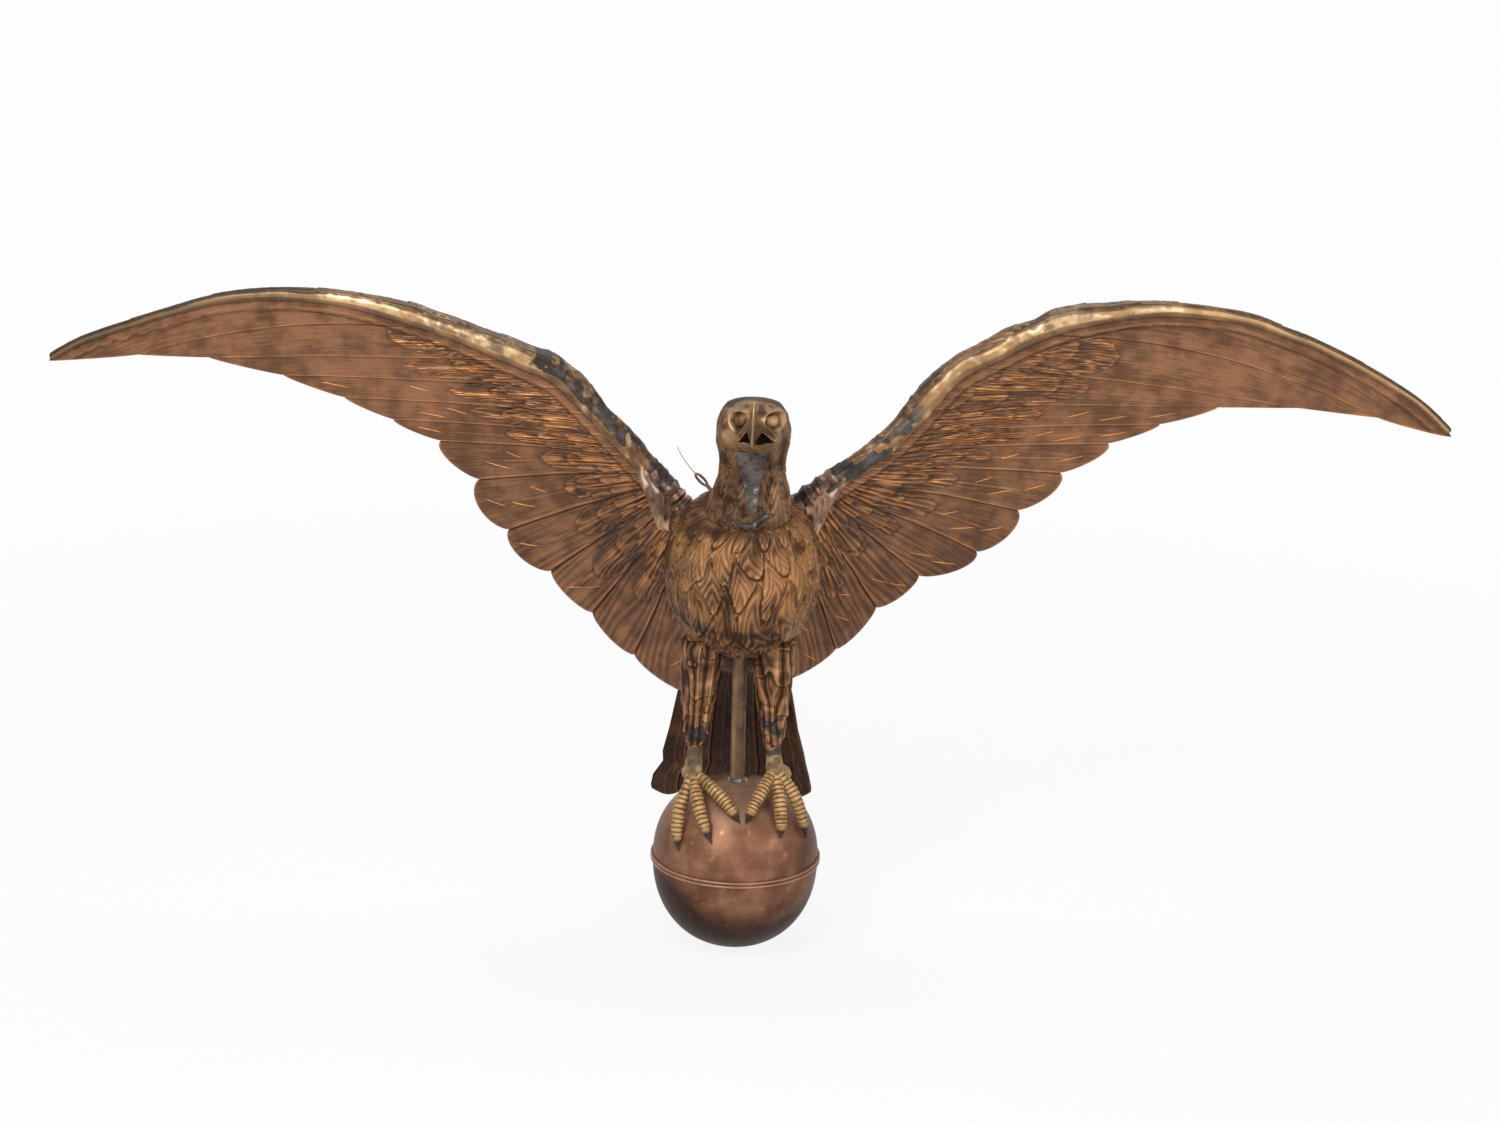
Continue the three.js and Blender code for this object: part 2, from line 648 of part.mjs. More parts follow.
/** The body's outer form, grown by an offset. Positive reaches run both ends on. */
function bodyForm(offset, runOn = 0) {
  const centres = BODY_STATION_SHARES.map(([reach, rise]) => new THREE.Vector3(
    0,
    BODY_FRONT + reach * BODY_REACH,
    TAIL_ROOT_HEIGHT + rise * BODY_RISE,
  ));
  const curve = new THREE.CatmullRomCurve3(centres);
  const across = new THREE.Vector3(1, 0, 0);
  const last = centres.length - 1;
  const rings = centres.map((centre, index) => {
    const tangent = curve.getTangent(index / last);
    const away = new THREE.Vector3().crossVectors(tangent, across);
    const [, , width, depth] = BODY_STATION_SHARES[index];
    const place = centre.clone();
    if (index === 0) place.addScaledVector(tangent, -offset - runOn);
    if (index === last) place.addScaledVector(tangent, offset);
    return ellipseRing(
      place, across, away,
      width * BODY_HALF_WIDTH + offset, depth * BODY_HALF_DEPTH + offset, BODY_SIDES,
    );
  });
  return loft(rings);
}

/** The half space in front of the seam that joins the body's two shells. */
function bodyFrontSpace(shift) {
  const top = new THREE.Vector2(BODY_FRONT, TAIL_ROOT_HEIGHT + BODY_RISE);
  const bottom = new THREE.Vector2(BODY_FRONT + BODY_REACH, TAIL_ROOT_HEIGHT);
  const along = new THREE.Vector2().subVectors(top, bottom).normalize();
  const frontward = new THREE.Vector2(-along.y, along.x);
  const size = BODY_RISE + BODY_REACH;
  const centre = new THREE.Vector2().addVectors(top, bottom).multiplyScalar(0.5)
    .addScaledVector(frontward, size / 2 + shift);
  const geometry = new THREE.BoxGeometry(size, size, size * 2);
  geometry.rotateX(Math.atan2(-along.x, along.y));
  geometry.translate(0, centre.x, centre.y);
  return solid(geometry);
}

// Wings

/** Everything that a wing's pieces share: outline, depth and roll size, in own coordinates. */
function wingLayout(side) {
  const { sign, leadShares, notchShares, lobeShares } = WINGS[side];
  const toPlan = ([out, up]) => new THREE.Vector2(out * HALF_SPAN, SHOULDER_HEIGHT + up * WING_RISE);
  const contour = new THREE.SplineCurve(leadShares.map(toPlan)).getPoints(CONTOUR_SAMPLES);
  const rollRadius = (out) => ROLL_RADIUS * tableAt(ROLL_RADIUS_SHARES, out / HALF_SPAN, 1);
  const centres = contour.map((point, index) => {
    const before = contour[Math.max(0, index - 1)];
    const after = contour[Math.min(contour.length - 1, index + 1)];
    const tangent = new THREE.Vector2().subVectors(after, before).normalize();
    const inward = new THREE.Vector2(-tangent.y, tangent.x);
    return point.clone().addScaledVector(inward, rollRadius(point.x));
  });
  const contourRows = contour.map((p) => [p.x, p.y]);
  const centreRows = centres.map((p) => [p.x, p.y]);
  const outlineHeight = (out) => tableAt(contourRows, out, 1);
  const depth = (plan) => {
    const below = Math.max(0, outlineHeight(plan.x) - plan.y);
    return LEAD_DEPTH + (LEAD_SWEEP * plan.x) / HALF_SPAN + CHORD_SLOPE_SHARE * below;
  };
  const centreAt = (out) => {
    const limited = Math.min(out, centres[0].x);
    return new THREE.Vector2(limited, tableAt(centreRows, limited, 1));
  };
  const toSpace = (plan, shift = 0) => new THREE.Vector3(sign * plan.x, depth(plan) + shift, plan.y);
  const clearOfRoll = (plan) => Math.min(...centres.map((centre) => centre.distanceTo(plan)));
  const notches = notchShares.map(toPlan);
  return { centres, rollRadius, centreAt, toSpace, clearOfRoll, notches, lobeShares };
}

/** The stations along a roll's centre line, tip to root. */
function rollStations(wing) {
  const last = wing.centres.length - 1;
  const places = Array.from({ length: ROLL_STEPS + 1 }, (_, step) => Math.round((step * last) / ROLL_STEPS));
  return places.map((place) => wing.centres[place]);
}

/** The leading-edge roll's form, grown by an offset. A bore leaves out the ring at the tip. */
function rollForm(wing, offset, isBore = false) {
  const stations = rollStations(wing).slice(isBore ? 1 : 0);
  const radii = stations.map((plan, index) => {
    const radius = wing.rollRadius(plan.x) + offset;
    return index === 0 && !isBore ? radius * TIP_ROUND_SHARE : radius;
  });
  return roundSweep(stations.map((plan) => wing.toSpace(plan)), radii, ROLL_SIDES);
}

/** The plan of one feather's columns: lead point, edge point and bow, tip side to root side. */
function featherColumns(wing, feather) {
  const [start, end] = [wing.notches[feather], wing.notches[feather + 1]];
  const leadOut = [ANCHOR_OUT_SHARES[feather], ANCHOR_OUT_SHARES[feather + 1]];
  const spacing = start.distanceTo(end);
  const middleLead = wing.centreAt(((leadOut[0] + leadOut[1]) / 2) * HALF_SPAN);
  const outward = new THREE.Vector2().addVectors(start, end).multiplyScalar(0.5).sub(middleLead).normalize();
  const columns = [];
  for (let step = 0; step <= FEATHER_COLUMNS; step += 1) {
    const lobePlace = step / FEATHER_COLUMNS;
    const share = THREE.MathUtils.lerp(STEP_RUN_SHARE, 1, lobePlace);
    const lobe = Math.sqrt(Math.max(0, 1 - (2 * lobePlace - 1) ** 2)) ** LOBE_POINT_SHARE;
    const edge = new THREE.Vector2().lerpVectors(start, end, share)
      .addScaledVector(outward, lobe * wing.lobeShares[feather] * spacing);
    const lead = wing.centreAt(THREE.MathUtils.lerp(leadOut[0], leadOut[1], share) * HALF_SPAN);
    const bowShares = [feather === 1 ? TOP_BOW_SHARE : 0, feather === 0 ? TOP_BOW_SHARE : 0];
    columns.push({ lead, edge, share, bow: THREE.MathUtils.lerp(bowShares[0], bowShares[1], share) });
  }
  return columns;
}

/** A blade between two depths, each worked out from the half thickness at that point. */
function wingBlade(wing, frontDepth, backDepth) {
  const front = [];
  const back = [];
  for (let feather = 0; feather < FEATHERS; feather += 1) {
    featherColumns(wing, feather).forEach(({ lead, edge, share, bow }) => {
      const length = lead.distanceTo(edge);
      const frontColumn = [];
      const backColumn = [];
      WING_ROW_SHARES.forEach((row) => {
        const plan = new THREE.Vector2().lerpVectors(lead, edge, row);
        plan.y += bow * length * 4 * row * (1 - row);
        const radius = wing.rollRadius(plan.x);
        const lip = LIP_SHARE * (radius - SHEET) - GAP;
        const fade = THREE.MathUtils.smoothstep(wing.clearOfRoll(plan), radius, radius + WING_TAPER);
        const relief = FEATHER_STEP * share * THREE.MathUtils.smoothstep(row, 0, 0.5);
        const half = THREE.MathUtils.lerp(Math.max(lip, EDGE_HALF), EDGE_HALF, fade) + relief;
        frontColumn.push(wing.toSpace(plan, frontDepth(half)));
        backColumn.push(wing.toSpace(plan, backDepth(half)));
      });
      front.push(frontColumn);
      back.push(backColumn);
    });
  }
  return plate(front, back);
}

/** One wing's front sheet, back sheet, roll and root collar. */
function makeWing(side, wing, { body, spar }) {
  const rollCutter = rollForm(wing, GAP);
  const bladeCutter = wingBlade(wing, (half) => -half - GAP, (half) => half + GAP);
  const inside = (half) => Math.max(GAP / 2, half - SHEET);
  const frontBlade = wingBlade(wing, (half) => -half, (half) => -inside(half));
  const backBlade = wingBlade(wing, inside, (half) => half);
  const trimmed = (blade) => blade.subtract(rollCutter).subtract(body).subtract(spar);
  const roll = rollForm(wing, 0).subtract(rollForm(wing, -SHEET, true)).subtract(body);
  return [
    piece(`${side}_wing_front_sheet`, trimmed(frontBlade), COPPER),
    piece(`${side}_wing_back_sheet`, trimmed(backBlade), COPPER),
    piece(`${side}_wing_leading_edge`, roll, GILT),
    makeWingCollar(side, wing, { rollCutter, bladeCutter, body }),
  ];
}

/** The outer form of the folded copper collar round the roll, where the wing meets the shoulder. */
function wingCollarForm(wing, offset) {
  const [from, to] = COLLAR_WRAP_SHARES.map((share) => share * HALF_SPAN);
  const stations = wing.centres.filter((centre) => centre.x >= from && centre.x <= to)
    .filter((_, index) => index % COLLAR_SAMPLE_STEP === 0);
  const path = stations.map((centre) => wing.toSpace(centre));
  const radii = stations.map((centre, index) => {
    const fold = 1 + COLLAR_FOLD_SHARE * (index % 2);
    return wing.rollRadius(centre.x) + GAP + WING_COLLAR_THICKNESS * fold + offset;
  });
  return roundSweep(path, radii, ROLL_SIDES);
}

function makeWingCollar(side, wing, cutters) {
  const { rollCutter, bladeCutter, body } = cutters;
  const collar = wingCollarForm(wing, 0).subtract(rollCutter).subtract(bladeCutter).subtract(body);
  return piece(`${side}_wing_root_collar`, collar, COPPER);
}

// Spar

/** The spar's path through both rolls, from one elbow to the other. */
function sparPath(leftWing, rightWing) {
  const [from, to] = SPAR_REACH_SHARES.map((share) => share * HALF_SPAN);
  const along = (wing) => rollStations(wing)
    .filter((plan) => plan.x > from && plan.x < to)
    .map((plan) => wing.toSpace(plan));
  const crossing = new THREE.Vector3(0, SPAR_CROSSING_DEPTH, SPAR_CROSSING_HEIGHT);
  return [...along(rightWing), crossing, ...along(leftWing).reverse()];
}

/** The spar, grown by an offset. */
function sparForm(route, offset) {
  return roundSweep(route, route.map(() => SPAR_RADIUS + offset), ROLL_SIDES);
}

/** The block that ties the spar to the tube inside the body. */
function makeClamp(cutters) {
  const front = -TUBE_RADIUS - CLAMP_WALL;
  const rear = SPAR_CROSSING_DEPTH + SPAR_RADIUS + CLAMP_WALL;
  const low = new THREE.Vector3(-CLAMP_WIDTH / 2, front, SPAR_CROSSING_HEIGHT - CLAMP_HEIGHT / 2);
  const high = new THREE.Vector3(CLAMP_WIDTH / 2, rear, SPAR_CROSSING_HEIGHT + CLAMP_HEIGHT / 2);
  return piece('spar_clamp', box(low, high).subtract(cutters.tube).subtract(cutters.spar), IRON);
}

// Neck and head

/** The neck and skull, grown by an offset. */
function neckForm(offset, runOn = 0) {
  const rings = HEAD_STATION_SHARES.map(([rise, forward, lean, width, depth], index) => {
    const crown = index === HEAD_STATION_SHARES.length - 1 ? offset : 0;
    const foot = index === 0 ? -runOn : 0;
    const centre = new THREE.Vector3(
      lean * HEAD_LEAN,
      NECK_DEPTH + forward * HEAD_FORWARD,
      NECK_BASE_HEIGHT + rise * HEAD_RISE + crown + foot,
    );
    const across = new THREE.Vector3(1, 0, 0);
    const away = new THREE.Vector3(0, 1, 0);
    return ellipseRing(
      centre, across, away,
      width * HEAD_HALF_WIDTH + offset, depth * HEAD_HALF_DEPTH + offset, HEAD_SIDES,
    );
  });
  return loft(rings);
}

/** The upper beak: a sharp ridge that falls and hooks over at the tip. */
function beakForm() {
  const rings = BEAK_STATION_SHARES.map(([forward, ridge, sideUp, bottom, width]) => {
    const y = BEAK_ROOT_DEPTH - forward * BEAK_LENGTH;
    const half = width * BEAK_HALF_WIDTH;
    const at = (x, up) => new THREE.Vector3(HEAD_LEAN + x, y, BEAK_TIP_HEIGHT + up * BEAK_RISE);
    const bend = (ridge + sideUp) / 2;
    const middle = (sideUp + bottom) / 2;
    const palate = THREE.MathUtils.lerp(bottom, sideUp, 0.35);
    return [
      at(0, ridge), at(half * 0.34, bend), at(half * 0.8, sideUp), at(half, middle), at(half * 0.9, bottom),
      at(0, palate),
      at(-half * 0.9, bottom), at(-half, middle), at(-half * 0.8, sideUp), at(-half * 0.34, bend),
    ];
  });
  return loft(rings);
}

/** The two eyes and the brows over them, raised from the sheet. */
function eyeForms() {
  const forms = [];
  [-1, 1].forEach((way) => {
    const x = HEAD_LEAN + (way * EYE_SPACING) / 2;
    forms.push(ellipsoid(new THREE.Vector3(x, EYE_DEPTH, EYE_HEIGHT), EYE_RADIUS, EYE_RADIUS, EYE_RADIUS));
    const brow = new THREE.Vector3(x + way * BROW_THICKNESS * 0.3, EYE_DEPTH + BROW_THICKNESS * 0.3,
      EYE_HEIGHT + BROW_ABOVE_EYE);
    forms.push(ellipsoid(brow, BROW_LENGTH / 2, BROW_THICKNESS, BROW_THICKNESS / 2, way * 0.35));
  });
  return forms;
}

/** The head's two shells, soldered together down the middle of the face. */
function makeHead(body) {
  const hollow = neckForm(-SHEET, CUT_OVERRUN);
  const form = joined([neckForm(0), beakForm(), ...eyeForms()]);
  const whole = form.subtract(hollow).subtract(body).subtract(mandibleForm(GAP));
  const reach = HEAD_RISE * 2;
  const slab = (from, to) => box(
    new THREE.Vector3(from, -reach, NECK_BASE_HEIGHT - reach),
    new THREE.Vector3(to, reach, NECK_BASE_HEIGHT + reach),
  );
  const leftSpace = slab(HEAD_LEAN + GAP / 2, HEAD_LEAN + reach);
  const rightSpace = slab(HEAD_LEAN - reach, HEAD_LEAN - GAP / 2);
  return [
    piece('head_left_shell', whole.intersect(leftSpace), COPPER),
    piece('head_right_shell', whole.intersect(rightSpace), COPPER),
  ];
}

/** The lower mandible: a rounded tongue of copper under the open beak. */
function mandibleForm(offset) {
  const rings = [0, 0.35, 0.7, 0.9, 1].map((share) => {
    const half = MANDIBLE_HALF_WIDTH * Math.sqrt(1 - 0.8 * share ** 2) + offset;
    const y = BEAK_ROOT_DEPTH - share * (MANDIBLE_LENGTH + offset);
    const top = MANDIBLE_TOP + offset - share * MANDIBLE_HEIGHT * 0.12;
    const drop = MANDIBLE_HEIGHT * (1 - 0.45 * share ** 2) + 2 * offset;
    const at = (x, down) => new THREE.Vector3(HEAD_LEAN + x * half, y, top - down * drop);
    return [
      at(-1, 0), at(-0.4, 0.08), at(0.4, 0.08), at(1, 0),
      at(0.86, 0.55), at(0.4, 0.95), at(-0.4, 0.95), at(-0.86, 0.55),
    ];
  });
  return loft(rings);
}

function makeMandible(neckCutter) {
  return piece('lower_mandible', mandibleForm(0).subtract(neckCutter), COPPER);
}

/** The lead run down the throat, over the seam between the head's shells. */
function makeThroatSolder({ neck }) {
  const profile = new THREE.Shape();
  profile.moveTo(HEAD_LEAN - THROAT_TOP_HALF_WIDTH, THROAT_TOP);
  profile.lineTo(HEAD_LEAN - THROAT_BOTTOM_HALF_WIDTH, THROAT_BOTTOM);
  profile.lineTo(HEAD_LEAN + THROAT_BOTTOM_HALF_WIDTH, THROAT_BOTTOM);
  profile.lineTo(HEAD_LEAN + THROAT_TOP_HALF_WIDTH, THROAT_TOP);
  profile.closePath();
  const prism = new THREE.ExtrudeGeometry(profile, { depth: HEAD_RISE, bevelEnabled: false });
  prism.rotateX(Math.PI / 2).translate(0, NECK_DEPTH, 0);
  const coat = neckForm(GAP + LEAD_THICKNESS).subtract(neck).subtract(mandibleForm(GAP));
  const ringCutter = bodyForm(NECK_RING_SIZE + 2 * GAP);
  return piece('throat_solder', coat.intersect(solid(prism)).subtract(ringCutter), LEAD);
}

/** The lead fillet where the neck stands on the body. */
function makeNeckRing({ body, neck }) {
  const fillet = neckForm(GAP + NECK_RING_SIZE).intersect(bodyForm(GAP + NECK_RING_SIZE));
  return piece('neck_solder_ring', fillet.subtract(body).subtract(neck), LEAD);
}

// Tail

/** A blade of the tail between two depths either side of its middle surface. */
function tailBlade(frontDepth, backDepth) {
  const front = [];
  const back = [];
  for (let feather = 0; feather < TAIL_FEATHERS; feather += 1) {
    for (let step = 0; step <= TAIL_FEATHER_COLUMNS; step += 1) {
      const share = THREE.MathUtils.lerp(STEP_RUN_SHARE, 1, step / TAIL_FEATHER_COLUMNS);
      const across = (feather + share) / TAIL_FEATHERS;
      const scallop = TAIL_SCALLOP * (1 - Math.sin(Math.PI * share));
      const corner = TAIL_SCALLOP * Math.abs(2 * across - 1) ** 8;
      const drop = TAIL_DROP - scallop - corner;
      const frontColumn = [];
      const backColumn = [];
      TAIL_ROW_SHARES.forEach((row) => {
        const down = row * drop;
        const left = tableAt(TAIL_EDGE_SHARES, down / TAIL_DROP, 1);
        const right = tableAt(TAIL_EDGE_SHARES, down / TAIL_DROP, 2);
        const x = THREE.MathUtils.lerp(left, right, across) * TAIL_HALF_WIDTH;
        const nearRoot = 1 - THREE.MathUtils.smoothstep(row, 0, 0.45);
        const swell = TAIL_SWELL * nearRoot * (1 - (2 * across - 1) ** 2);
        const relief = FEATHER_STEP * share * THREE.MathUtils.smoothstep(row, 0, 0.3);
        const half = EDGE_HALF + swell + relief;
        const y = TAIL_ROOT_DEPTH + TAIL_SLOPE_SHARE * down;
        const z = TAIL_TOP - down;
        frontColumn.push(new THREE.Vector3(x, y + frontDepth(half), z));
        backColumn.push(new THREE.Vector3(x, y + backDepth(half), z));
      });
      front.push(frontColumn);
      back.push(backColumn);
    }
  }
  return plate(front, back);
}

function makeTail(bodyCutter) {
  const inside = (half) => Math.max(GAP / 2, half - SHEET);
  const lower = tailBlade((half) => -half, (half) => -inside(half));
  const upper = tailBlade(inside, (half) => half);
  return [
    piece('tail_lower_sheet', lower.subtract(bodyCutter), COPPER),
    piece('tail_upper_sheet', upper.subtract(bodyCutter), COPPER),
  ];
}

// Legs

/** A feathered thigh, from inside the body down to the ankle. */
function makeThigh(side, bodyCutter) {
  const { hipShares, ankleShares } = LEGS[side];
  const rings = THIGH_STATION_SHARES.map(([down, width, depth, lean]) => ellipseRing(
    new THREE.Vector3(
      THREE.MathUtils.lerp(hipShares[0], ankleShares[0], lean) * LEG_SPREAD,
      THREE.MathUtils.lerp(hipShares[1], ankleShares[1], lean) * FOOT_FORWARD,
      THIGH_TOP - down * THIGH_DROP,
    ),
    new THREE.Vector3(1, 0, 0),
    new THREE.Vector3(0, 1, 0),
    width * THIGH_HALF_WIDTH,
    depth * THIGH_HALF_DEPTH,
    16,
    THIGH_RIB_SHARE,
  ));
  return piece(`${side}_thigh`, loft(rings).subtract(bodyCutter), COPPER);
}

/** One ringed toe, arched from the knuckle to a claw that seats on the ball. */
function toeForm(knuckle, { liftShare, arch, tip }) {
  const path = new THREE.QuadraticBezierCurve3(
    knuckle,
    onBall(arch[0], arch[1], liftShare * TOE_ARCH),
    onBall(tip[0], tip[1], GAP + CLAW_TIP_RADIUS),
  );
  const points = [];
  const radii = [];
  for (let step = 0; step <= TOE_STEPS; step += 1) {
    const share = step / TOE_STEPS;
    points.push(path.getPoint(share));
    const ringed = 1 + (step % 2 === 0 ? -TOE_RING_SHARE : TOE_RING_SHARE);
    const claw = THREE.MathUtils.smoothstep(share, 0.68, 1);
    const toe = TOE_RADIUS * (1 - 0.12 * share) * (share < 0.7 ? ringed : 1);
    radii.push(THREE.MathUtils.lerp(toe, CLAW_TIP_RADIUS, claw));
  }
  return roundSweep(points, radii, TOE_SIDES);
}

/** A cast foot: the shank, the knuckle and four toes, clear of the ball. */
function makeFoot(side, ballCutter) {
  const { ankleShares, knuckleShares, toes } = LEGS[side];
  const scale = new THREE.Vector3(LEG_SPREAD, FOOT_FORWARD, KNUCKLE_HEIGHT);
  const centre = new THREE.Vector3(...knuckleShares).multiply(scale);
  const ankle = new THREE.Vector3(ankleShares[0], ankleShares[1], 0).multiply(scale);
  const top = ankle.clone().setZ(ANKLE_HEIGHT + TARSUS_RADIUS);
  const middle = new THREE.Vector3().lerpVectors(top, centre, 0.5);
  const shank = roundSweep([top, middle, centre], [TARSUS_RADIUS, TARSUS_RADIUS * 0.95, KNUCKLE_RADIUS], 12);
  const knuckleForm = ellipsoid(centre, KNUCKLE_RADIUS, KNUCKLE_RADIUS, KNUCKLE_RADIUS);
  const whole = joined([shank, knuckleForm, ...toes.map((toe) => toeForm(centre, toe))]);
  const reach = 3 * TARSUS_RADIUS;
  const aboveAnkle = box(
    new THREE.Vector3(ankle.x - reach, ankle.y - reach, ANKLE_HEIGHT - GAP),
    new THREE.Vector3(ankle.x + reach, ankle.y + reach, ANKLE_HEIGHT + reach),
  );
  return piece(`${side}_foot`, whole.subtract(ballCutter).subtract(aboveAnkle), GILT);
}

// Wire eye

/** The twisted wire: a sunk shank, a closed eye and a thin free end. */
function makeHangingLoop(wing, { body }) {
  const foot = new THREE.Vector3(SHANK_FOOT_OUT, SHANK_FOOT_DEPTH, SHANK_FOOT_HEIGHT);
  const centre = new THREE.Vector3(LOOP_OUT, LOOP_DEPTH, LOOP_HEIGHT);
  const sideways = new THREE.Vector3(0, 1, 0);
  const along = new THREE.Vector3().subVectors(centre, foot).setComponent(1, 0).normalize();
  const across = new THREE.Vector3().crossVectors(sideways, along);
  const rings = [];
  for (let step = 0; step < LOOP_STEPS; step += 1) {
    const angle = (FULL_TURN * step) / LOOP_STEPS;
    const outward = along.clone().multiplyScalar(Math.cos(angle)).addScaledVector(across, Math.sin(angle));
    const point = centre.clone()
      .addScaledVector(along, LOOP_HALF_LENGTH * Math.cos(angle))
      .addScaledVector(across, LOOP_HALF_WIDTH * Math.sin(angle));
    rings.push(ellipseRing(point, outward, sideways, WIRE_RADIUS, WIRE_RADIUS, WIRE_SIDES));
  }
  const low = centre.clone().addScaledVector(along, -LOOP_HALF_LENGTH);
  const high = centre.clone().addScaledVector(along, LOOP_HALF_LENGTH);
  const sunk = foot.clone().sub(low).normalize().multiplyScalar(SHANK_REACH).add(foot);
  const shank = roundSweep([sunk, foot, low], [SHANK_RADIUS, SHANK_RADIUS, WIRE_RADIUS], WIRE_SIDES);
  const end = high.clone().add(new THREE.Vector3(-WIRE_END_OUT, 0, WIRE_END_RISE));
  const bend = new THREE.Vector3().lerpVectors(high, end, 0.5).addScaledVector(across, -WIRE_END_BOW);
  const whisker = roundSweep([high, bend, end], Array(3).fill(WIRE_END_RADIUS), WIRE_SIDES);
  const whole = joined([ringOf(rings), shank, whisker]);
  return piece('hanging_loop', whole.subtract(body).subtract(wingCollarForm(wing, GAP)), IRON);
}

/** A closed loop of rings, each joined to the next and the last to the first. */
function ringOf(rings) {
  const sides = rings[0].length;
  const triangles = [];
  rings.forEach((_, ring) => {
    const next = (ring + 1) % rings.length;
    for (let side = 0; side < sides; side += 1) {
      const other = (side + 1) % sides;
      const [a, b] = [ring * sides + side, ring * sides + other];
      const [c, d] = [next * sides + other, next * sides + side];
      triangles.push([a, b, c], [a, c, d]);
    }
  });
  return solid(closedGeometry(rings.flat(), triangles));
}

// Assembly

/** Everything that more than one piece is cut by, each grown by the gap. */
function makeCutters(sparRoute) {
  return {
    body: bodyForm(GAP),
    neck: neckForm(GAP),
    ball: turned(ballOutline(GAP), BALL_SIDES),
    tube: rod(TUBE_RADIUS + GAP, 0, TUBE_TOP + GAP),
    spar: sparForm(sparRoute, GAP),
  };
}

function makeBody(cutters) {
  const shell = bodyForm(0).subtract(bodyForm(-SHEET)).subtract(cutters.tube).subtract(cutters.spar);
  return [
    piece('body_breast_shell', shell.intersect(bodyFrontSpace(GAP / 2)), COPPER),
    piece('body_back_shell', shell.subtract(bodyFrontSpace(-GAP / 2)), COPPER),
  ];
}

function makeWeathervane() {
  const layouts = { left: wingLayout('left'), right: wingLayout('right') };
  const sparRoute = sparPath(layouts.left, layouts.right);
  const cutters = makeCutters(sparRoute);
  const bearing = [makeSpindle(), makePivotTube(), makePivotCap(), makeGuideBush()];
  const ball = [
    ballHalf('ball_upper_half', BALL_UPPER_HEIGHT, 1),
    ballHalf('ball_lower_half', BALL_LOWER_HEIGHT, -1),
    makeSeamBand(),
    makeTubeCollar(),
  ];
  const head = [
    ...makeHead(cutters.body),
    makeMandible(cutters.neck),
    makeThroatSolder(cutters),
    makeNeckRing(cutters),
  ];
  const frame = [
    piece('wing_spar', sparForm(sparRoute, 0), IRON),
    makeClamp(cutters),
    makeHangingLoop(layouts.right, cutters),
  ];
  const sides = ['left', 'right'].flatMap((side) => [
    ...makeWing(side, layouts[side], cutters),
    makeThigh(side, cutters.body),
    makeFoot(side, cutters.ball),
  ]);
  const vane = new THREE.Group();
  vane.add(...bearing, ...ball, ...makeBody(cutters), ...head, ...makeTail(cutters.body), ...frame, ...sides);
  return vane;
}

export default makeWeathervane();
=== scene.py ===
"""Eagle weathervane of formed sheet copper: the finished pieces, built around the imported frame.

Sizes are in millimetres and the meshes are written in metres. The eagle faces -Y and +Z is up.
"""

import logging
import math
from dataclasses import dataclass, field
from enum import Enum

import bpy
import numpy as np
from mathutils import Matrix


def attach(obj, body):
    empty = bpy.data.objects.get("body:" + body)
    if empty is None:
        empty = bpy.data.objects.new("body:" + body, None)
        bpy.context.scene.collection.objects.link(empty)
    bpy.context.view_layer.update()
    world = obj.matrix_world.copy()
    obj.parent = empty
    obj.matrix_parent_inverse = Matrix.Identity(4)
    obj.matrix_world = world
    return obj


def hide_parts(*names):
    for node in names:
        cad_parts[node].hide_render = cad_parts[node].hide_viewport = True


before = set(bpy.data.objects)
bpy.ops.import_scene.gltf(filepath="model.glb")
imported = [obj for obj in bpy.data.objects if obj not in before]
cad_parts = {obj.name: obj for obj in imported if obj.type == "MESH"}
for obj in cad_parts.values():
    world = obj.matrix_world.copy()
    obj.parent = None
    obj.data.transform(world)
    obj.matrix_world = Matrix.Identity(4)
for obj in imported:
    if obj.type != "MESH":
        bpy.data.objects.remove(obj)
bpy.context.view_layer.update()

Array = np.ndarray
Colour = tuple[float, float, float]
Masks = dict[str, Array]
Rows = tuple[tuple[float, ...], ...]

LOG = logging.getLogger("weathervane")
VANE = "vane"
METRES = 0.001
FULL_TURN = 2 * math.pi
AHEAD = np.array([0.0, 1.0, 0.0])
UPWARD = np.array([0.0, 0.0, 1.0])
LEVEL = np.array([1.0, 1.0, 0.0])
SHARE_MASKS = ("crest", "hollow", "lead", "gilt")
MASK_NAMES = (*SHARE_MASKS, "across", "along")
SHARP_ANGLE = math.radians(50)


# Numbers on grids


def ramp(low: float, high: float, value: Array) -> Array:
    """A rise from 0 to 1 between two values, by 3x squared less 2x cubed."""
    share = np.clip((value - low) / (high - low), 0.0, 1.0)
    return share * share * (3 - 2 * share)


def bump(distance: Array, width: float) -> Array:
    """A bell: e to the minus square of distance over width."""
    return np.exp(-((distance / width) ** 2))


def mixed(start: Array, end: Array, share: Array) -> Array:
    """The value a share of the way from start to end."""
    return start + (end - start) * share


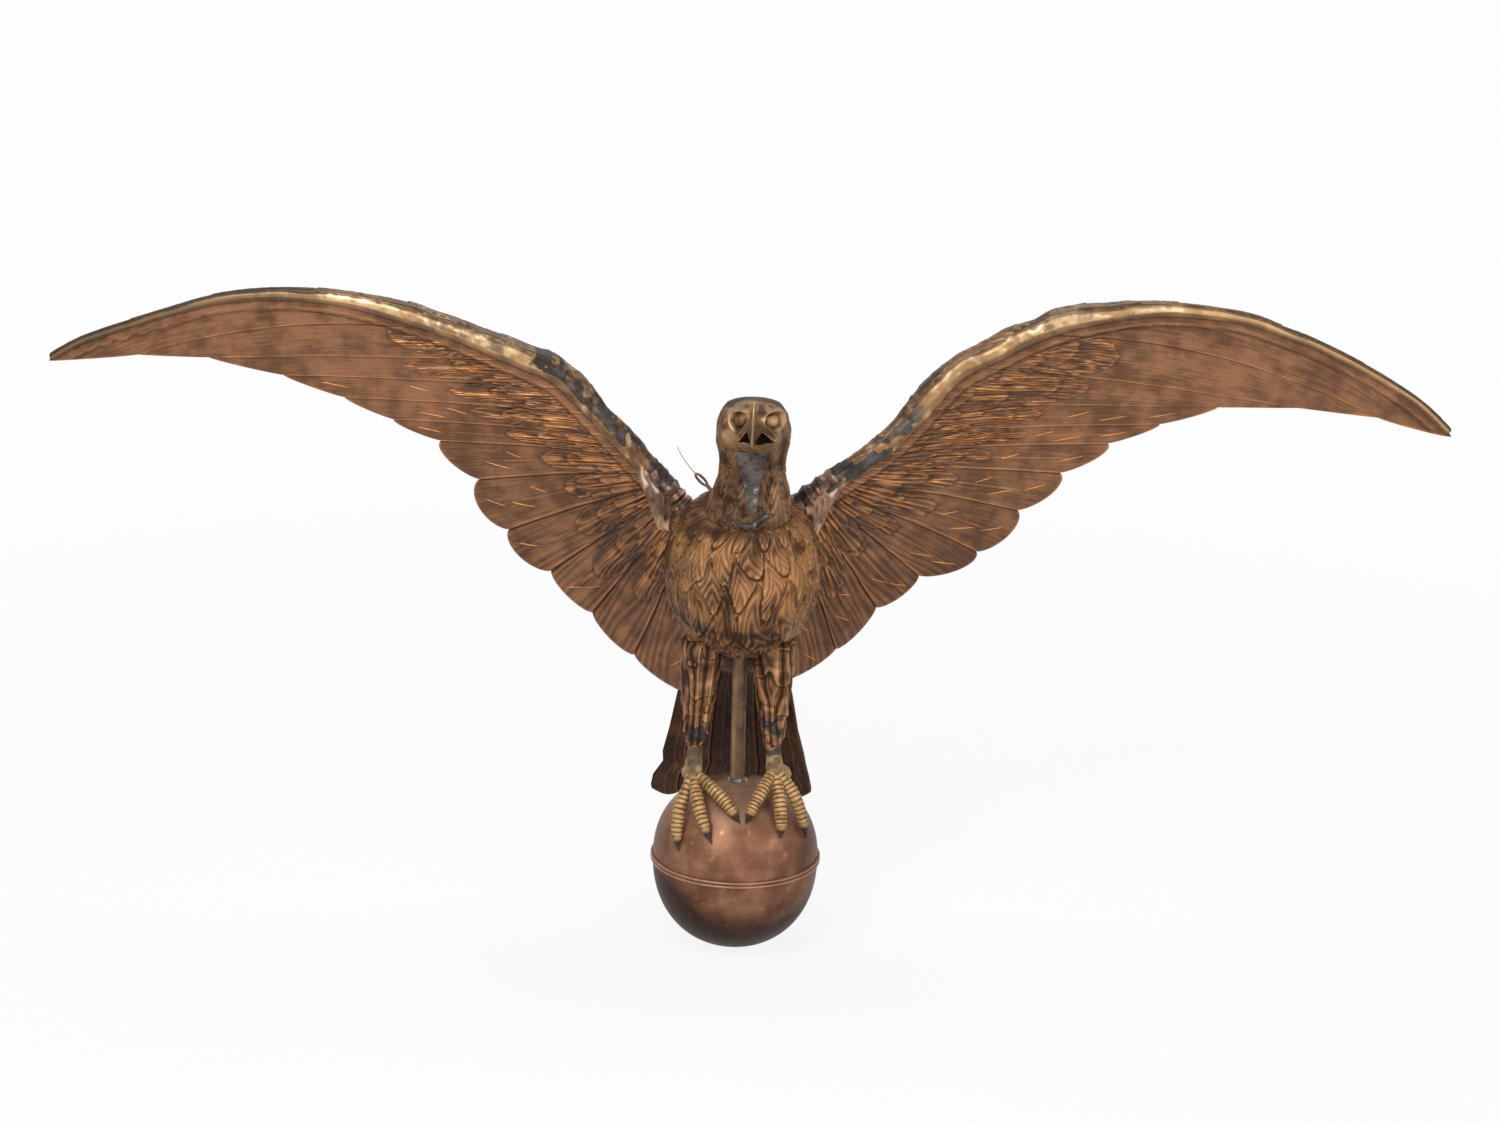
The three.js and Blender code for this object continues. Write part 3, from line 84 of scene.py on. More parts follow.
def spline(rows: Array, places: Array) -> Array:
    """A Catmull-Rom curve through the rows of a table.

    Between rows b and c, with neighbours a and d, each value is the cubic that passes through b and c
    with the slopes (c - a) / 2 and (d - b) / 2.

    Args:
        rows: The table, one row per station.
        places: Where to read it, from 0 at the first row to the last row's number.

    Returns:
        One row of values for each place.
    """
    table = np.asarray(rows, float)
    last = len(table) - 1
    index = np.clip(places.astype(int), 0, last - 1)
    part = (places - index).reshape(-1, *([1] * (table.ndim - 1)))
    before, start = table[np.maximum(index - 1, 0)], table[index]
    end, after = table[index + 1], table[np.minimum(index + 2, last)]
    slope_in, slope_out = (end - before) / 2, (after - start) / 2
    cubic = (2 * start - 2 * end + slope_in + slope_out) * part**3
    square = (3 * end - 3 * start - 2 * slope_in - slope_out) * part**2
    return cubic + square + slope_in * part + start


def resampled(rows: Array, count: int) -> Array:
    """The spline through the rows, read at a count of even steps."""
    return spline(rows, np.linspace(0, len(rows) - 1, count))


def steps(count: int) -> Array:
    """Even steps from 0 to 1."""
    return np.linspace(0, 1, count)


def turns(count: int) -> Array:
    """Evenly spaced angles of one full turn, which leave out the last."""
    return np.linspace(0, FULL_TURN, count, endpoint=False)


def lattice(corner: Array, seed: int) -> Array:
    """A repeatable number from 0 to 1 for each whole-number corner, by mixing its bits.

    Args:
        corner: Rows of whole numbers.
        seed: Picks one of many draws.

    Returns:
        One number for each row.
    """
    mixing = np.array([73856093, 19349663, 83492791], np.int64)
    value = (corner.astype(np.int64) * mixing[: corner.shape[-1]]).sum(-1) + seed * 2654435761
    value = (value ^ (value >> 13)) * 1274126177
    value = (value ^ (value >> 16)) & 0xFFFFFF
    return value / float(0xFFFFFF)


def noise(points: Array, cell: float, seed: int) -> Array:
    """Smooth noise from -1 to 1: random values at a lattice's corners, blended by the ramp's curve.

    Args:
        points: Places, in two or three axes.
        cell: The lattice's step.
        seed: Picks one of many draws.

    Returns:
        One number for each place.
    """
    scaled = points / cell
    corner = np.floor(scaled)
    part = scaled - corner
    part = part * part * (3 - 2 * part)
    total = np.zeros(points.shape[:-1])
    axes = points.shape[-1]
    for choice in range(2**axes):
        offset = np.array([(choice >> axis) & 1 for axis in range(axes)])
        weight = np.prod(np.where(offset == 1, part, 1 - part), axis=-1)
        total += weight * lattice(corner + offset, seed)
    return 2 * total - 1


def lengths(vectors: Array) -> Array:
    """The length of each vector."""
    return np.sqrt((vectors**2).sum(-1))


def travelled(path: Array) -> Array:
    """The length of a path from its start to each of its points."""
    return np.concatenate([[0], np.cumsum(lengths(np.diff(path, axis=0)))])


def curve(start: Array, bend: Array, end: Array, share: Array) -> Array:
    """The quadratic curve from start to end that leans towards the bend."""
    return (1 - share) ** 2 * start + 2 * share * (1 - share) * bend + share**2 * end


def units(vectors: Array) -> Array:
    """Each vector divided by its length."""
    return vectors / np.maximum(lengths(vectors), 1e-9)[..., None]


def surface_normals(points: Array, wraps: bool) -> Array:
    """Unit normals of a grid: the cross product of the steps along its two parameters.

    Args:
        points: The grid.
        wraps: Whether its last column joins the first.

    Returns:
        A normal for each point.
    """
    down = np.gradient(points, axis=0)
    if wraps:
        across = (np.roll(points, -1, axis=1) - np.roll(points, 1, axis=1)) / 2
    else:
        across = np.gradient(points, axis=1)
    return units(np.cross(down, across))


def mask_of(like: Array, **given: Array | float) -> Masks:
    """Masks for a grid's points: zeros where none is given, and shares held between 0 and 1.

    Args:
        like: The grid's points.
        given: Masks by name, of the grid's shape or one that fits it.

    Returns:
        Every mask, by name.
    """
    shape = like.shape[:-1]
    held = {name: np.clip(given[name], 0, 1) for name in SHARE_MASKS if name in given}
    return {name: np.broadcast_to({**given, **held}.get(name, 0.0), shape) for name in MASK_NAMES}


# Closed shells from grids


@dataclass
class Shell:
    """One closed surface of a piece.

    Attributes:
        points: The corners, N by 3, in millimetres.
        faces: The faces, as rows of four corner numbers; a triangle repeats its last one.
        masks: For each name a number per corner, which the finish reads.
    """

    points: Array
    faces: Array
    masks: Masks

    def outward(self) -> "Shell":
        """The same shell, with its faces turned outwards if their volume comes out negative.

        Returns:
            The shell.
        """
        first, second, third, fourth = (self.points[self.faces[:, corner]] for corner in range(4))
        volume = (first * np.cross(second, third)).sum() + (first * np.cross(third, fourth)).sum()
        faces = self.faces if volume > 0 else self.faces[:, ::-1]
        return Shell(self.points, faces, self.masks)


def grid_faces(rows: int, columns: int, wraps: bool) -> Array:
    """Quads between the points of a grid, numbered row by row.

    Args:
        rows: How many rows of points.
        columns: How many points in a row.
        wraps: Whether the last column joins the first.

    Returns:
        The quads, one row of four numbers each.
    """
    steps = columns if wraps else columns - 1
    row, column = np.meshgrid(np.arange(rows - 1), np.arange(steps), indexing="ij")
    following = (column + 1) % columns
    corners = [row * columns + column, row * columns + following]
    corners += [(row + 1) * columns + following, (row + 1) * columns + column]
    return np.stack(corners, -1).reshape(-1, 4)


def flat_masks(masks: Masks) -> Masks:
    """Masks with one number after another, in the order of the points."""
    return {name: np.asarray(values, float).reshape(-1) for name, values in masks.items()}


def tube_shell(rings: Array, **given: Array | float) -> Shell:
    """A closed tube through rings of points, with each end closed by a fan to the ring's centre.

    Args:
        rings: The rings of points.
        given: Masks, by name.

    Returns:
        The shell.
    """
    masks = mask_of(rings, **given)
    count, sides, _ = rings.shape
    points = np.concatenate([rings.reshape(-1, 3), rings[:1].mean(1), rings[-1:].mean(1)])
    side = np.arange(sides)
    following = (side + 1) % sides
    pole = np.full(sides, count * sides)
    end = (count - 1) * sides
    first = np.stack([following, side, pole, pole], -1)
    last = np.stack([end + side, end + following, pole + 1, pole + 1], -1)
    faces = np.concatenate([grid_faces(count, sides, True), first, last])
    poles = {name: np.array([grid[0].mean(), grid[-1].mean()]) for name, grid in masks.items()}
    joined = {name: np.concatenate([values, poles[name]]) for name, values in flat_masks(masks).items()}
    return Shell(points, faces, joined).outward()


def ring_shell(rings: Array, **given: Array | float) -> Shell:
    """A closed ring: a tube whose last ring of points joins its first.

    Args:
        rings: The rings of points.
        given: Masks, by name.

    Returns:
        The shell.
    """
    count, sides, _ = rings.shape
    faces = grid_faces(count + 1, sides, True) % (count * sides)
    return Shell(rings.reshape(-1, 3), faces, flat_masks(mask_of(rings, **given))).outward()


def plate_shell(front: Array, back: Array, front_masks: Masks, back_masks: Masks) -> Shell:
    """A thin closed plate between two grids of the same size, joined along their border.

    Args:
        front: The front grid.
        back: The back grid.
        front_masks: The front's masks.
        back_masks: The back's masks.

    Returns:
        The shell.
    """
    rows, columns, _ = front.shape
    points = np.concatenate([front.reshape(-1, 3), back.reshape(-1, 3)])
    faces = grid_faces(rows, columns, False)
    number = np.arange(rows * columns).reshape(rows, columns)
    border = np.concatenate([number[0, :-1], number[:-1, -1], number[-1, :0:-1], number[:0:-1, 0]])
    following = np.roll(border, -1)
    offset = rows * columns
    wall = np.stack([following, border, border + offset, following + offset], -1)
    every = np.concatenate([faces, faces[:, ::-1] + offset, wall])
    first, second = flat_masks(front_masks), flat_masks(back_masks)
    masks = {name: np.concatenate([first[name], second[name]]) for name in MASK_NAMES}
    return Shell(points, every, masks).outward()


def carried_frames(path: Array) -> tuple[Array, Array]:
    """Vectors square to a path: the way ahead, made square, and its cross product with the path.

    Args:
        path: The path's points.

    Returns:
        The two vectors, for each point.
    """
    tangent = units(np.gradient(path, axis=0))
    first = units(AHEAD - (tangent @ AHEAD)[:, None] * tangent)
    return first, np.cross(tangent, first)


def swept(path: Array, radii: Array, sides: int) -> Array:
    """Rings of points: at each path point a circle of its radius, in the plane square to the path.

    Args:
        path: The path's points.
        radii: The radius at each.
        sides: How many points a ring has.

    Returns:
        The rings.
    """
    first, second = carried_frames(path)
    angle = turns(sides)
    circle = first[:, None] * np.cos(angle)[None, :, None] + second[:, None] * np.sin(angle)[None, :, None]
    return path[:, None] + circle * radii[:, None, None]


def lathe(profile: Array, sides: int) -> Array:
    """Rings of points: each (radius, height) of a profile turned about the vertical.

    Args:
        profile: The radius and height of each ring.
        sides: How many points a ring has.

    Returns:
        The rings.
    """
    angle = turns(sides)
    radius, height = profile[:, :1], profile[:, 1:]
    parts = [radius * np.cos(angle), radius * np.sin(angle), np.broadcast_to(height, (len(profile), sides))]
    return np.stack(parts, -1)


def globe(radius: float, gap: float) -> Array:
    """Rings of points on a ball round the origin, from a small gap in angle at each pole."""
    angle = np.linspace(gap, math.pi - gap, 24)
    return lathe(np.stack([np.sin(angle), np.cos(angle)], -1) * radius, 32)


def join_shells(name: str, shells: list[Shell]) -> bpy.types.Object:
    """One object at the origin from closed shells, with their masks as point attributes.

    Args:
        name: The piece's name.
        shells: Its closed surfaces, in millimetres.

    Returns:
        The object, smooth but for its sharp edges.
    """
    starts = np.cumsum([0] + [len(shell.points) for shell in shells[:-1]])
    points = np.concatenate([shell.points for shell in shells]) * METRES
    faces = np.concatenate([shell.faces + start for shell, start in zip(shells, starts)])
    is_triangle = faces[:, 2] == faces[:, 3]
    turned = faces[:, 0] == faces[:, 1]
    triangles = np.concatenate([faces[is_triangle][:, :3], faces[turned & ~is_triangle][:, 1:]])
    quads = faces[~is_triangle & ~turned]
    mesh = bpy.data.meshes.new(name)
    mesh.from_pydata(points.tolist(), [], quads.tolist() + triangles.tolist())
    for mask in MASK_NAMES:
        values = np.concatenate([shell.masks[mask] for shell in shells]).astype(np.float32)
        mesh.attributes.new(mask, "FLOAT", "POINT").data.foreach_set("value", values)
    mesh.polygons.foreach_set("use_smooth", np.ones(len(mesh.polygons), bool))
    mesh.set_sharp_from_angle(angle=SHARP_ANGLE)
    mesh.update()
    piece = bpy.data.objects.new(name, mesh)
    bpy.context.scene.collection.objects.link(piece)
    return piece


# Shader maths


class Slot(Enum):
    """The record's material slots."""

    COPPER = "aged_copper"
    DARK_COPPER = "dark_copper"
    BALL = "ball_copper"
    GILT = "worn_gilt"
    LEAD = "lead_solder"
    IRON = "dark_iron"


class Field:
    """A socket whose sums and products add their own Math nodes."""

    def __init__(self, tree: "Tree", socket: bpy.types.NodeSocket) -> None:
        """Wraps one output socket of a tree."""
        self.tree = tree
        self.socket = socket

    def maths(self, operation: str, *values: "Field | float") -> "Field":
        """A Math node of one operation on these values."""
        sockets = dict(enumerate(values))
        return self.tree.node("ShaderNodeMath", {"operation": operation}, sockets)

    def __add__(self, other: "Field | float") -> "Field":
        """This plus other."""
        return self.maths("ADD", self, other)

    __radd__ = __add__

    def __mul__(self, other: "Field | float") -> "Field":
        """This times other."""
        return self.maths("MULTIPLY", self, other)

    __rmul__ = __mul__

    def __sub__(self, other: "Field | float") -> "Field":
        """This less other."""
        return self.maths("SUBTRACT", self, other)

    def __rsub__(self, other: float) -> "Field":
        """Other less this."""
        return self.maths("SUBTRACT", other, self)

    def ramp(self, low: float, high: float) -> "Field":
        """A smooth rise from 0 at low to 1 at high."""
        sockets = {"Value": self, "From Min": low, "From Max": high}
        return self.tree.node("ShaderNodeMapRange", {"interpolation_type": "SMOOTHSTEP"}, sockets)

    def held(self) -> "Field":
        """This, kept between 0 and 1."""
        return self.maths("MAXIMUM", self.maths("MINIMUM", self, 1.0), 0.0)


class Tree:
    """The node tree of one material, or of the world."""

    def __init__(self, owner: bpy.types.Material | bpy.types.World, shader: str = "Principled BSDF") -> None:
        """Takes the owner's tree, and the shader node that it starts with.

        Args:
            owner: The material or the world.
            shader: The node's name.
        """
        owner.use_nodes = True
        self.nodes = owner.node_tree.nodes
        self.links = owner.node_tree.links
        self.shader = self.nodes[shader]

    def node(self, kind: str, settings: dict, sockets: dict, output: int | str = 0) -> Field:
        """Adds a node.

        Args:
            kind: The node's type.
            settings: Its properties, which are set first.
            sockets: Values or fields for its inputs, by number or name.
            output: The output that is returned.

        Returns:
            The output as a field.
        """
        made = self.nodes.new(kind)
        for name, value in settings.items():
            setattr(made, name, value)
        for key, value in sockets.items():
            self.put(made.inputs[key], value)
        return Field(self, made.outputs[output])

    def put(self, socket: bpy.types.NodeSocket, value: object) -> None:
        """Links a field to a socket, or sets a plain value on it.

        Args:
            socket: The input.
            value: A field or a plain value.
        """
        if isinstance(value, Field):
            self.links.new(value.socket, socket)
        else:
            socket.default_value = value

    def mask(self, name: str) -> Field:
        """One of the piece's point attributes."""
        return self.node("ShaderNodeAttribute", {"attribute_name": name}, {}, "Fac")

    def place(self) -> Field:
        """Object coordinates, in metres."""
        return self.node("ShaderNodeTexCoord", {}, {}, "Object")

    def stretched(self, vector: Field, scale: Colour) -> Field:
        """A vector scaled along its axes."""
        return self.node("ShaderNodeMapping", {}, {"Vector": vector, "Scale": scale})

    def cloud(self, vector: Field, scale: float, detail: float = 3.0, rough: float = 0.55) -> Field:
        """Cloudy noise around a half."""
        sockets = {"Vector": vector, "Scale": scale, "Detail": detail, "Roughness": rough}
        return self.node("ShaderNodeTexNoise", {}, sockets, "Fac")

    def plume(self) -> Field:
        """A vector of the piece's own across and along coordinates."""
        return self.node("ShaderNodeCombineXYZ", {}, {"X": self.mask("across"), "Y": self.mask("along")})

    def blend(self, share: Field | float, start: object, end: object) -> Field:
        """A colour that share of the way from start to end."""
        sockets = {"Factor": share, 6: padded(start), 7: padded(end)}
        return self.node("ShaderNodeMix", {"data_type": "RGBA"}, sockets, 2)


def padded(colour: object) -> object:
    """A colour with full alpha; a field is left as it is."""
    return colour if isinstance(colour, Field) else (*colour, 1.0)


def tint(*parts: int) -> Colour:
    """Linear light from a colour, by the screens' usual curve.

    Args:
        parts: Red, green and blue, up to 255.

    Returns:
        Their shares of linear light.
    """
    shares = np.array(parts) / 255
    linear = np.where(shares <= 0.04045, shares / 12.92, ((shares + 0.055) / 1.055) ** 2.4)
    return tuple(float(value) for value in linear)


# Finishes

LEAD_DARK = tint(38, 37, 38)
LEAD_LIGHT = tint(96, 95, 92)
VERDIGRIS = tint(112, 116, 88)
GILDING = tint(190, 138, 62)


@dataclass(frozen=True)
class Patina:
    """Aged metal: mottled base, rubbed crests, dark hollows, painted highlights and shade, stains, patches of
    lead and gilding.

    Attributes:
        name: The material's name.
        base: The main colour, and with `shade` the two ends of the mottling.
        shade: The darker colour of the mottling.
        crest: The colour of rubbed edges, and of painted highlights where a piece's crest mask lays them.
        hollow: The colour of grooves, and of painted shade where a piece's hollow mask lays it.
        stain: The colour of the grey-green film.
        gilding: The colour of the places that the gilt mask marks.
        stain_share: How much of the surface the film takes, from 0 to 1.
        metallic: How metallic the clean surface is.
        specular: The level of the plain reflection.
        roughness: The clean surface's roughness.
        grain: The bump strength of the fine grain.
        dents: The bump strength of the hammered dents.
        streak: The strength of the streaks along each feather.
    """

    name: str
    base: Colour
    shade: Colour
    crest: Colour
    hollow: Colour
    stain: Colour = VERDIGRIS
    gilding: Colour = GILDING
    stain_share: float = 0.2
    metallic: float = 0.3
    specular: float = 0.25
    roughness: float = 0.42
    grain: float = 0.12
    dents: float = 0.25
    streak: float = 0.0

    def build(self) -> bpy.types.Material:
        """Makes the material.

        Noise mixes shade and base. Over them come stain, gilding, rubbed crests and painted highlights,
        solder, and dark grooves and painted shade.

        Returns:
            The material.
        """
        material = bpy.data.materials.new(self.name)
        tree = Tree(material)
        place = tree.place()
        broad = tree.cloud(place, 11.0)
        medium = tree.cloud(place, 44.0, 4.0, 0.6)
        fine = tree.cloud(place, 260.0, 2.0, 0.6)
        streaks = tree.cloud(tree.stretched(tree.plume(), (420.0, 26.0, 1.0)), 1.0, 3.0)
        crest, hollow = tree.mask("crest"), tree.mask("hollow")
        lead, gilt = tree.mask("lead"), tree.mask("gilt")
        lined = 0.3 * self.streak
        mottle = medium * (0.45 - 0.5 * lined) + broad * (0.55 - 0.5 * lined) + streaks * lined
        colour = tree.blend(mottle.ramp(0.4, 0.62), self.shade, self.base)
        film = (medium * 0.55 + fine * 0.25 + broad * 0.2).ramp(0.62 - 0.25 * self.stain_share, 0.74)
        colour = tree.blend(film * 0.7 * min(1.0, 0.4 + self.stain_share), colour, self.stain)
        warm = tree.blend(fine, self.gilding, self.crest)
        colour = tree.blend((gilt * (0.45 + medium)).held(), colour, warm)
        # The crest mask lays rubbed crests, and painted highlights where a piece puts them.
        rubbed = (crest * (0.3 + medium * 1.1)).held()
        colour = tree.blend(rubbed, colour, self.crest)
        solder = (lead * 1.6 + medium + fine * 0.4 - 0.95).ramp(0.0, 0.55)
        grey = tree.blend((fine * 0.35 + medium * 0.85 - 0.1).ramp(0.42, 0.78), LEAD_DARK, LEAD_LIGHT)
        colour = tree.blend(solder * 0.92, colour, grey)
        # The hollow mask lays dark grooves, and painted shade where a piece puts it.
        sunk = (hollow * (0.75 + fine * 0.5)).held()
        colour = tree.blend(sunk * 0.9, colour, self.hollow)
        tree.put(tree.shader.inputs["Base Color"], colour)
        rough = self.roughness + 0.24 * medium + 0.1 * sunk + 0.1 * film - 0.12 * rubbed - 0.1
        tree.put(tree.shader.inputs["Roughness"], (rough + 0.08 * solder).held())
        metal = self.metallic - 0.6 * film * self.metallic - 0.2 * sunk + 0.15 * rubbed
        tree.put(tree.shader.inputs["Metallic"], metal.held())
        height = fine * self.grain + medium * self.dents + streaks * (0.5 * self.streak)
        sockets = {"Strength": 0.6, "Distance": 0.0016, "Height": height}
        tree.put(tree.shader.inputs["Normal"], tree.node("ShaderNodeBump", {}, sockets))
        tree.shader.inputs["Specular IOR Level"].default_value = self.specular
        return material


WING_COPPER = Patina(
    "wing_copper", base=tint(152, 106, 74), shade=tint(100, 68, 47), crest=tint(214, 144, 84),
    hollow=tint(40, 25, 15), stain=tint(92, 82, 62), gilding=tint(196, 134, 64), streak=1.0,
)
BODY_COPPER = Patina(
    "body_copper", base=tint(140, 99, 69), shade=tint(76, 51, 33), crest=tint(206, 150, 102),
    hollow=tint(28, 17, 10), stain=tint(84, 76, 52), gilding=tint(178, 124, 66), stain_share=0.35,
    metallic=0.2, specular=0.1, roughness=0.5, dents=0.4,
)
TAIL_COPPER = Patina(
    "tail_copper", base=tint(92, 60, 38), shade=tint(48, 30, 18), crest=tint(128, 90, 60),
    hollow=tint(20, 12, 8), stain=tint(58, 48, 34), metallic=0.2, specular=0.15, streak=1.0,
)
# Its pale crest colour is partly painted highlight, on the pale patches of the roll's band.
ROLL_GILT = Patina(
    "roll_gilt", base=tint(150, 108, 70), shade=tint(88, 64, 42), crest=tint(226, 190, 146),
    hollow=tint(36, 25, 16), stain=tint(96, 100, 84), gilding=tint(176, 122, 58), stain_share=0.45,
    metallic=0.4, roughness=0.34, dents=0.7,
)
FOOT_GILT = Patina(
    "foot_gilt", base=tint(164, 134, 98), shade=tint(112, 90, 64), crest=tint(196, 158, 108),
    hollow=tint(44, 32, 19), stain=tint(98, 92, 70), gilding=tint(172, 122, 62), stain_share=0.3,
    metallic=0.2, roughness=0.5,
)
# Its near-white crest colour is mostly painted highlight, on the fold's ridges.
COLLAR_COPPER = Patina(
    "collar_copper", base=tint(170, 128, 104), shade=tint(112, 80, 64), crest=tint(234, 202, 174),
    hollow=tint(34, 23, 17), gilding=tint(190, 132, 66), metallic=0.4, roughness=0.3, dents=0.9,
)
# Its hollow colour is mostly painted shade, on the ball's lower half and sides.
BALL_COPPER = Patina(
    "ball_copper", base=tint(152, 108, 84), shade=tint(116, 78, 58), crest=tint(188, 144, 118),
    hollow=tint(26, 14, 7), stain=tint(112, 92, 74), gilding=tint(122, 110, 92), stain_share=0.12,
    metallic=0.35, specular=0.11, roughness=0.36, grain=0.03, dents=0.06, streak=0.15,
)
HEAD_COPPER = Patina(
    "head_copper", base=tint(124, 92, 64), shade=tint(76, 55, 40), crest=tint(204, 166, 124),
    hollow=tint(32, 21, 13), stain=tint(92, 84, 58), gilding=tint(150, 96, 54), stain_share=0.35,
    metallic=0.25, specular=0.08, roughness=0.44, dents=0.5,
)
TUBE_IRON = Patina(
    "tube_iron", base=tint(128, 100, 74), shade=tint(80, 60, 44), crest=tint(182, 146, 100),
    hollow=tint(34, 24, 18), stain=tint(92, 80, 62), metallic=0.2, roughness=0.5,
)
LEAD_GREY = Patina(
    "lead_grey", base=tint(106, 98, 90), shade=tint(58, 53, 50), crest=tint(158, 152, 142),
    hollow=tint(30, 27, 25), stain=tint(96, 82, 64), roughness=0.44, grain=0.5, dents=1.2,
)
TURNED_STEEL = Patina(
    "turned_steel", base=tint(150, 150, 152), shade=tint(112, 112, 114), crest=tint(190, 190, 192),
    hollow=tint(70, 66, 62), stain=tint(120, 100, 80), stain_share=0.1, metallic=0.9, roughness=0.3,
)
WIRE_IRON = Patina(
    "wire_iron", base=tint(112, 84, 66), shade=tint(62, 46, 35), crest=tint(180, 144, 118),
    hollow=tint(28, 20, 16), roughness=0.4,
)
MATERIALS: dict[str, bpy.types.Material] = {}


def material_of(finish: Patina) -> bpy.types.Material:
    """The finish's material, made the first time that it is asked for.

    Args:
        finish: The finish.

    Returns:
        Its material.
    """
    if finish.name not in MATERIALS:
        MATERIALS[finish.name] = finish.build()
    return MATERIALS[finish.name]


def set_piece(name: str, shells: list[Shell], finish: Patina, nodes: tuple[str, ...]) -> None:
    """Builds a piece of the vane, dresses it and hands it to the frame.

    Args:
        name: The piece's name.
        shells: Its closed surfaces.
        finish: Its patina.
        nodes: The CAD nodes that it stands for.
    """
    piece = join_shells(name, shells)
    piece.data.materials.append(material_of(finish))
    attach(piece, VANE)
    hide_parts(*nodes)
    LOG.info("%s: %d faces, stands for %s", name, len(piece.data.polygons), ", ".join(nodes))


def dress_node(node: str, finish: Patina) -> None:
    """Gives a CAD node that stays in view its patina.

    Args:
        node: The node's name.
        finish: The patina.
    """
    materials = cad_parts[node].data.materials
    materials.clear()
    materials.append(material_of(finish))
    LOG.info("%s: CAD node in %s", node, finish.name)


# Feathers


@dataclass(frozen=True)
class Relief:
    """A raised pattern: its height in millimetres, and masks of its rubbed edges, dark grooves and painted
    shadows.
    """

    height: Array
    crest: Array
    hollow: Array


def barbs(
    across: Array, along: Array, spacing: float, seed: int, slant: float = 0.3, sway: float = 0.5
) -> Array:
    """Barbs that leave a feather's midrib at a low slant, bent and broken by noise drawn out along it.

    The wave is a half plus half the cosine of |across| less a part of along, over the spacing.

    Args:
        across: Millimetres from the midrib.
        along: Millimetres towards the tip.
        spacing: Millimetres between barbs.
        seed: Which noise.
        slant: How steeply the barbs leave the midrib.
        sway: How far the noise bends them, in barbs.

    Returns:
        A wave from 0 in the grooves to 1 on the barbs.
    """
    place = np.stack([across / 8.0, along / 46.0], -1)
    warp = noise(place, 1.0, seed) + 0.35 * noise(place, 0.4, seed + 1)
    phase = (0.95 * np.abs(across) - slant * along) / spacing + sway * warp
    depth = 0.6 + 0.4 * noise(place, 0.7, seed + 2)
    return depth * (0.5 + 0.5 * np.cos(FULL_TURN * phase)) ** 1.4


def scales(column: Array, row: Array, size: tuple[float, float], strands: float, seed: int) -> Relief:
    """Pointed feathers laid like roof tiles, each over the next row.

    Row i's feather starts at row = i and ends at i + 1.95 - |2a| ** 1.7, where a is the place across it
    from -1/2 to 1/2. Every second row is set half a column aside. A feather is domed across, rises from its
    root to its tip, and carries a midrib and barbs.

    Args:
        column: The place across, in feathers.
        row: The place along, in rows.
        size: A feather's width and a row's length in millimetres.
        strands: How strong the barbs are.
        seed: Which random lengths and barbs.

    Returns:
        The pattern, about 1.3 high.
    """
    width, length = size
    upper_row = np.floor(row) - 1

    def feather(index: Array) -> tuple[Array, Array, Array]:
        """One row of feathers.

        Args:
            index: The row's number at each place.

        Returns:
            Its tips, heights and barbs.
        """
        shifted = column + 0.5 * np.mod(index, 2)
        number = np.floor(shifted)
        cell = np.stack([number, index], -1)
        place = shifted - number - 0.5
        point = 1 - np.abs(2 * place)
        place = place + 0.14 * (lattice(cell, seed + 7) - 0.5) * point
        tip = index + 1.95 - np.abs(2 * place) ** 1.7 + 0.4 * (lattice(cell, seed) - 0.5) * point
        along = (row - index) * length + 60 * lattice(cell, seed + 9)
        wave = barbs(place * width, along, max(3.6, width * 0.14), seed + 3)
        rib = bump(place * width, width * 0.045)
        dome = 0.35 * (1 - (2 * place) ** 2)
        return tip, (row - index) / 1.95 + dome + strands * (0.3 * wave + 0.2 * rib), wave

    upper_tip, upper_height, upper_wave = feather(upper_row)
    _, lower_height, lower_wave = feather(upper_row + 1)
    past_tip = (row - upper_tip) * length
    cover = 1 - ramp(-0.6, 0.8, past_tip)
    wave = mixed(lower_wave, upper_wave, cover)
    edge = bump(np.minimum(past_tip + 1.6, 4.0), 1.5) * cover
    # Painted shadow: the lower feather darkens just past the tip of the one that covers it; the barbs'
    # grooves darken too.
    hollow = bump(np.maximum(past_tip - 1.2, 0.0), 2.6) * (1 - cover) + 0.5 * strands * (1 - wave) ** 2
    crest = 0.8 * edge + 0.7 * strands * wave**2
    return Relief(mixed(lower_height, upper_height, cover), np.clip(crest, 0, 1), np.clip(hollow, 0, 1))


# Wings

HALF_SPAN = 765.0
SHOULDER_HEIGHT = 520.0
WING_RISE = 218.0
ROLL_RADIUS_SHARES = (
    (0, 0.75), (0.08, 0.75), (0.2, 0.9), (0.35, 1), (0.5, 0.8), (0.57, 0.6), (0.75, 0.42), (1, 0.3)
)
ANCHOR_OUT_SHARES = (
    0.995, 0.388, 0.305, 0.242, 0.2065, 0.178, 0.152, 0.132, 0.118, 0.106, 0.09, 0.066, 0.044
)
FEATHERS = 12
# A hair's breadth, which keeps a place inside its own feather.
HAIR = 1e-6
FEATHER_PLACES = np.concatenate(
    [(0.0, 0.008, 0.02, 0.036, 0.055), np.linspace(0.08, 0.92, 36), (0.945, 0.964, 0.98, 0.992)]
)
# Each tier of coverts: where it ends, in shares of the longest, its lobes to a feather, and its rise.
COVERT_TIERS = ((1.0, 1, 2.3), (0.76, 1, 1.7), (0.55, 2, 1.3), (0.32, 2, 0.9))
# Each sliver on a flight feather: its place along, its place across, and half its length.
NICKS = ((0.22, 0.4, 7.0), (0.5, 0.66, 9.5), (0.78, 0.44, 9.0))


def feather_columns(count: int) -> Array:
    """The places across a row of feathers, close together at each feather's edges."""
    return np.concatenate([number + FEATHER_PLACES for number in range(count)] + [[count - HAIR]])


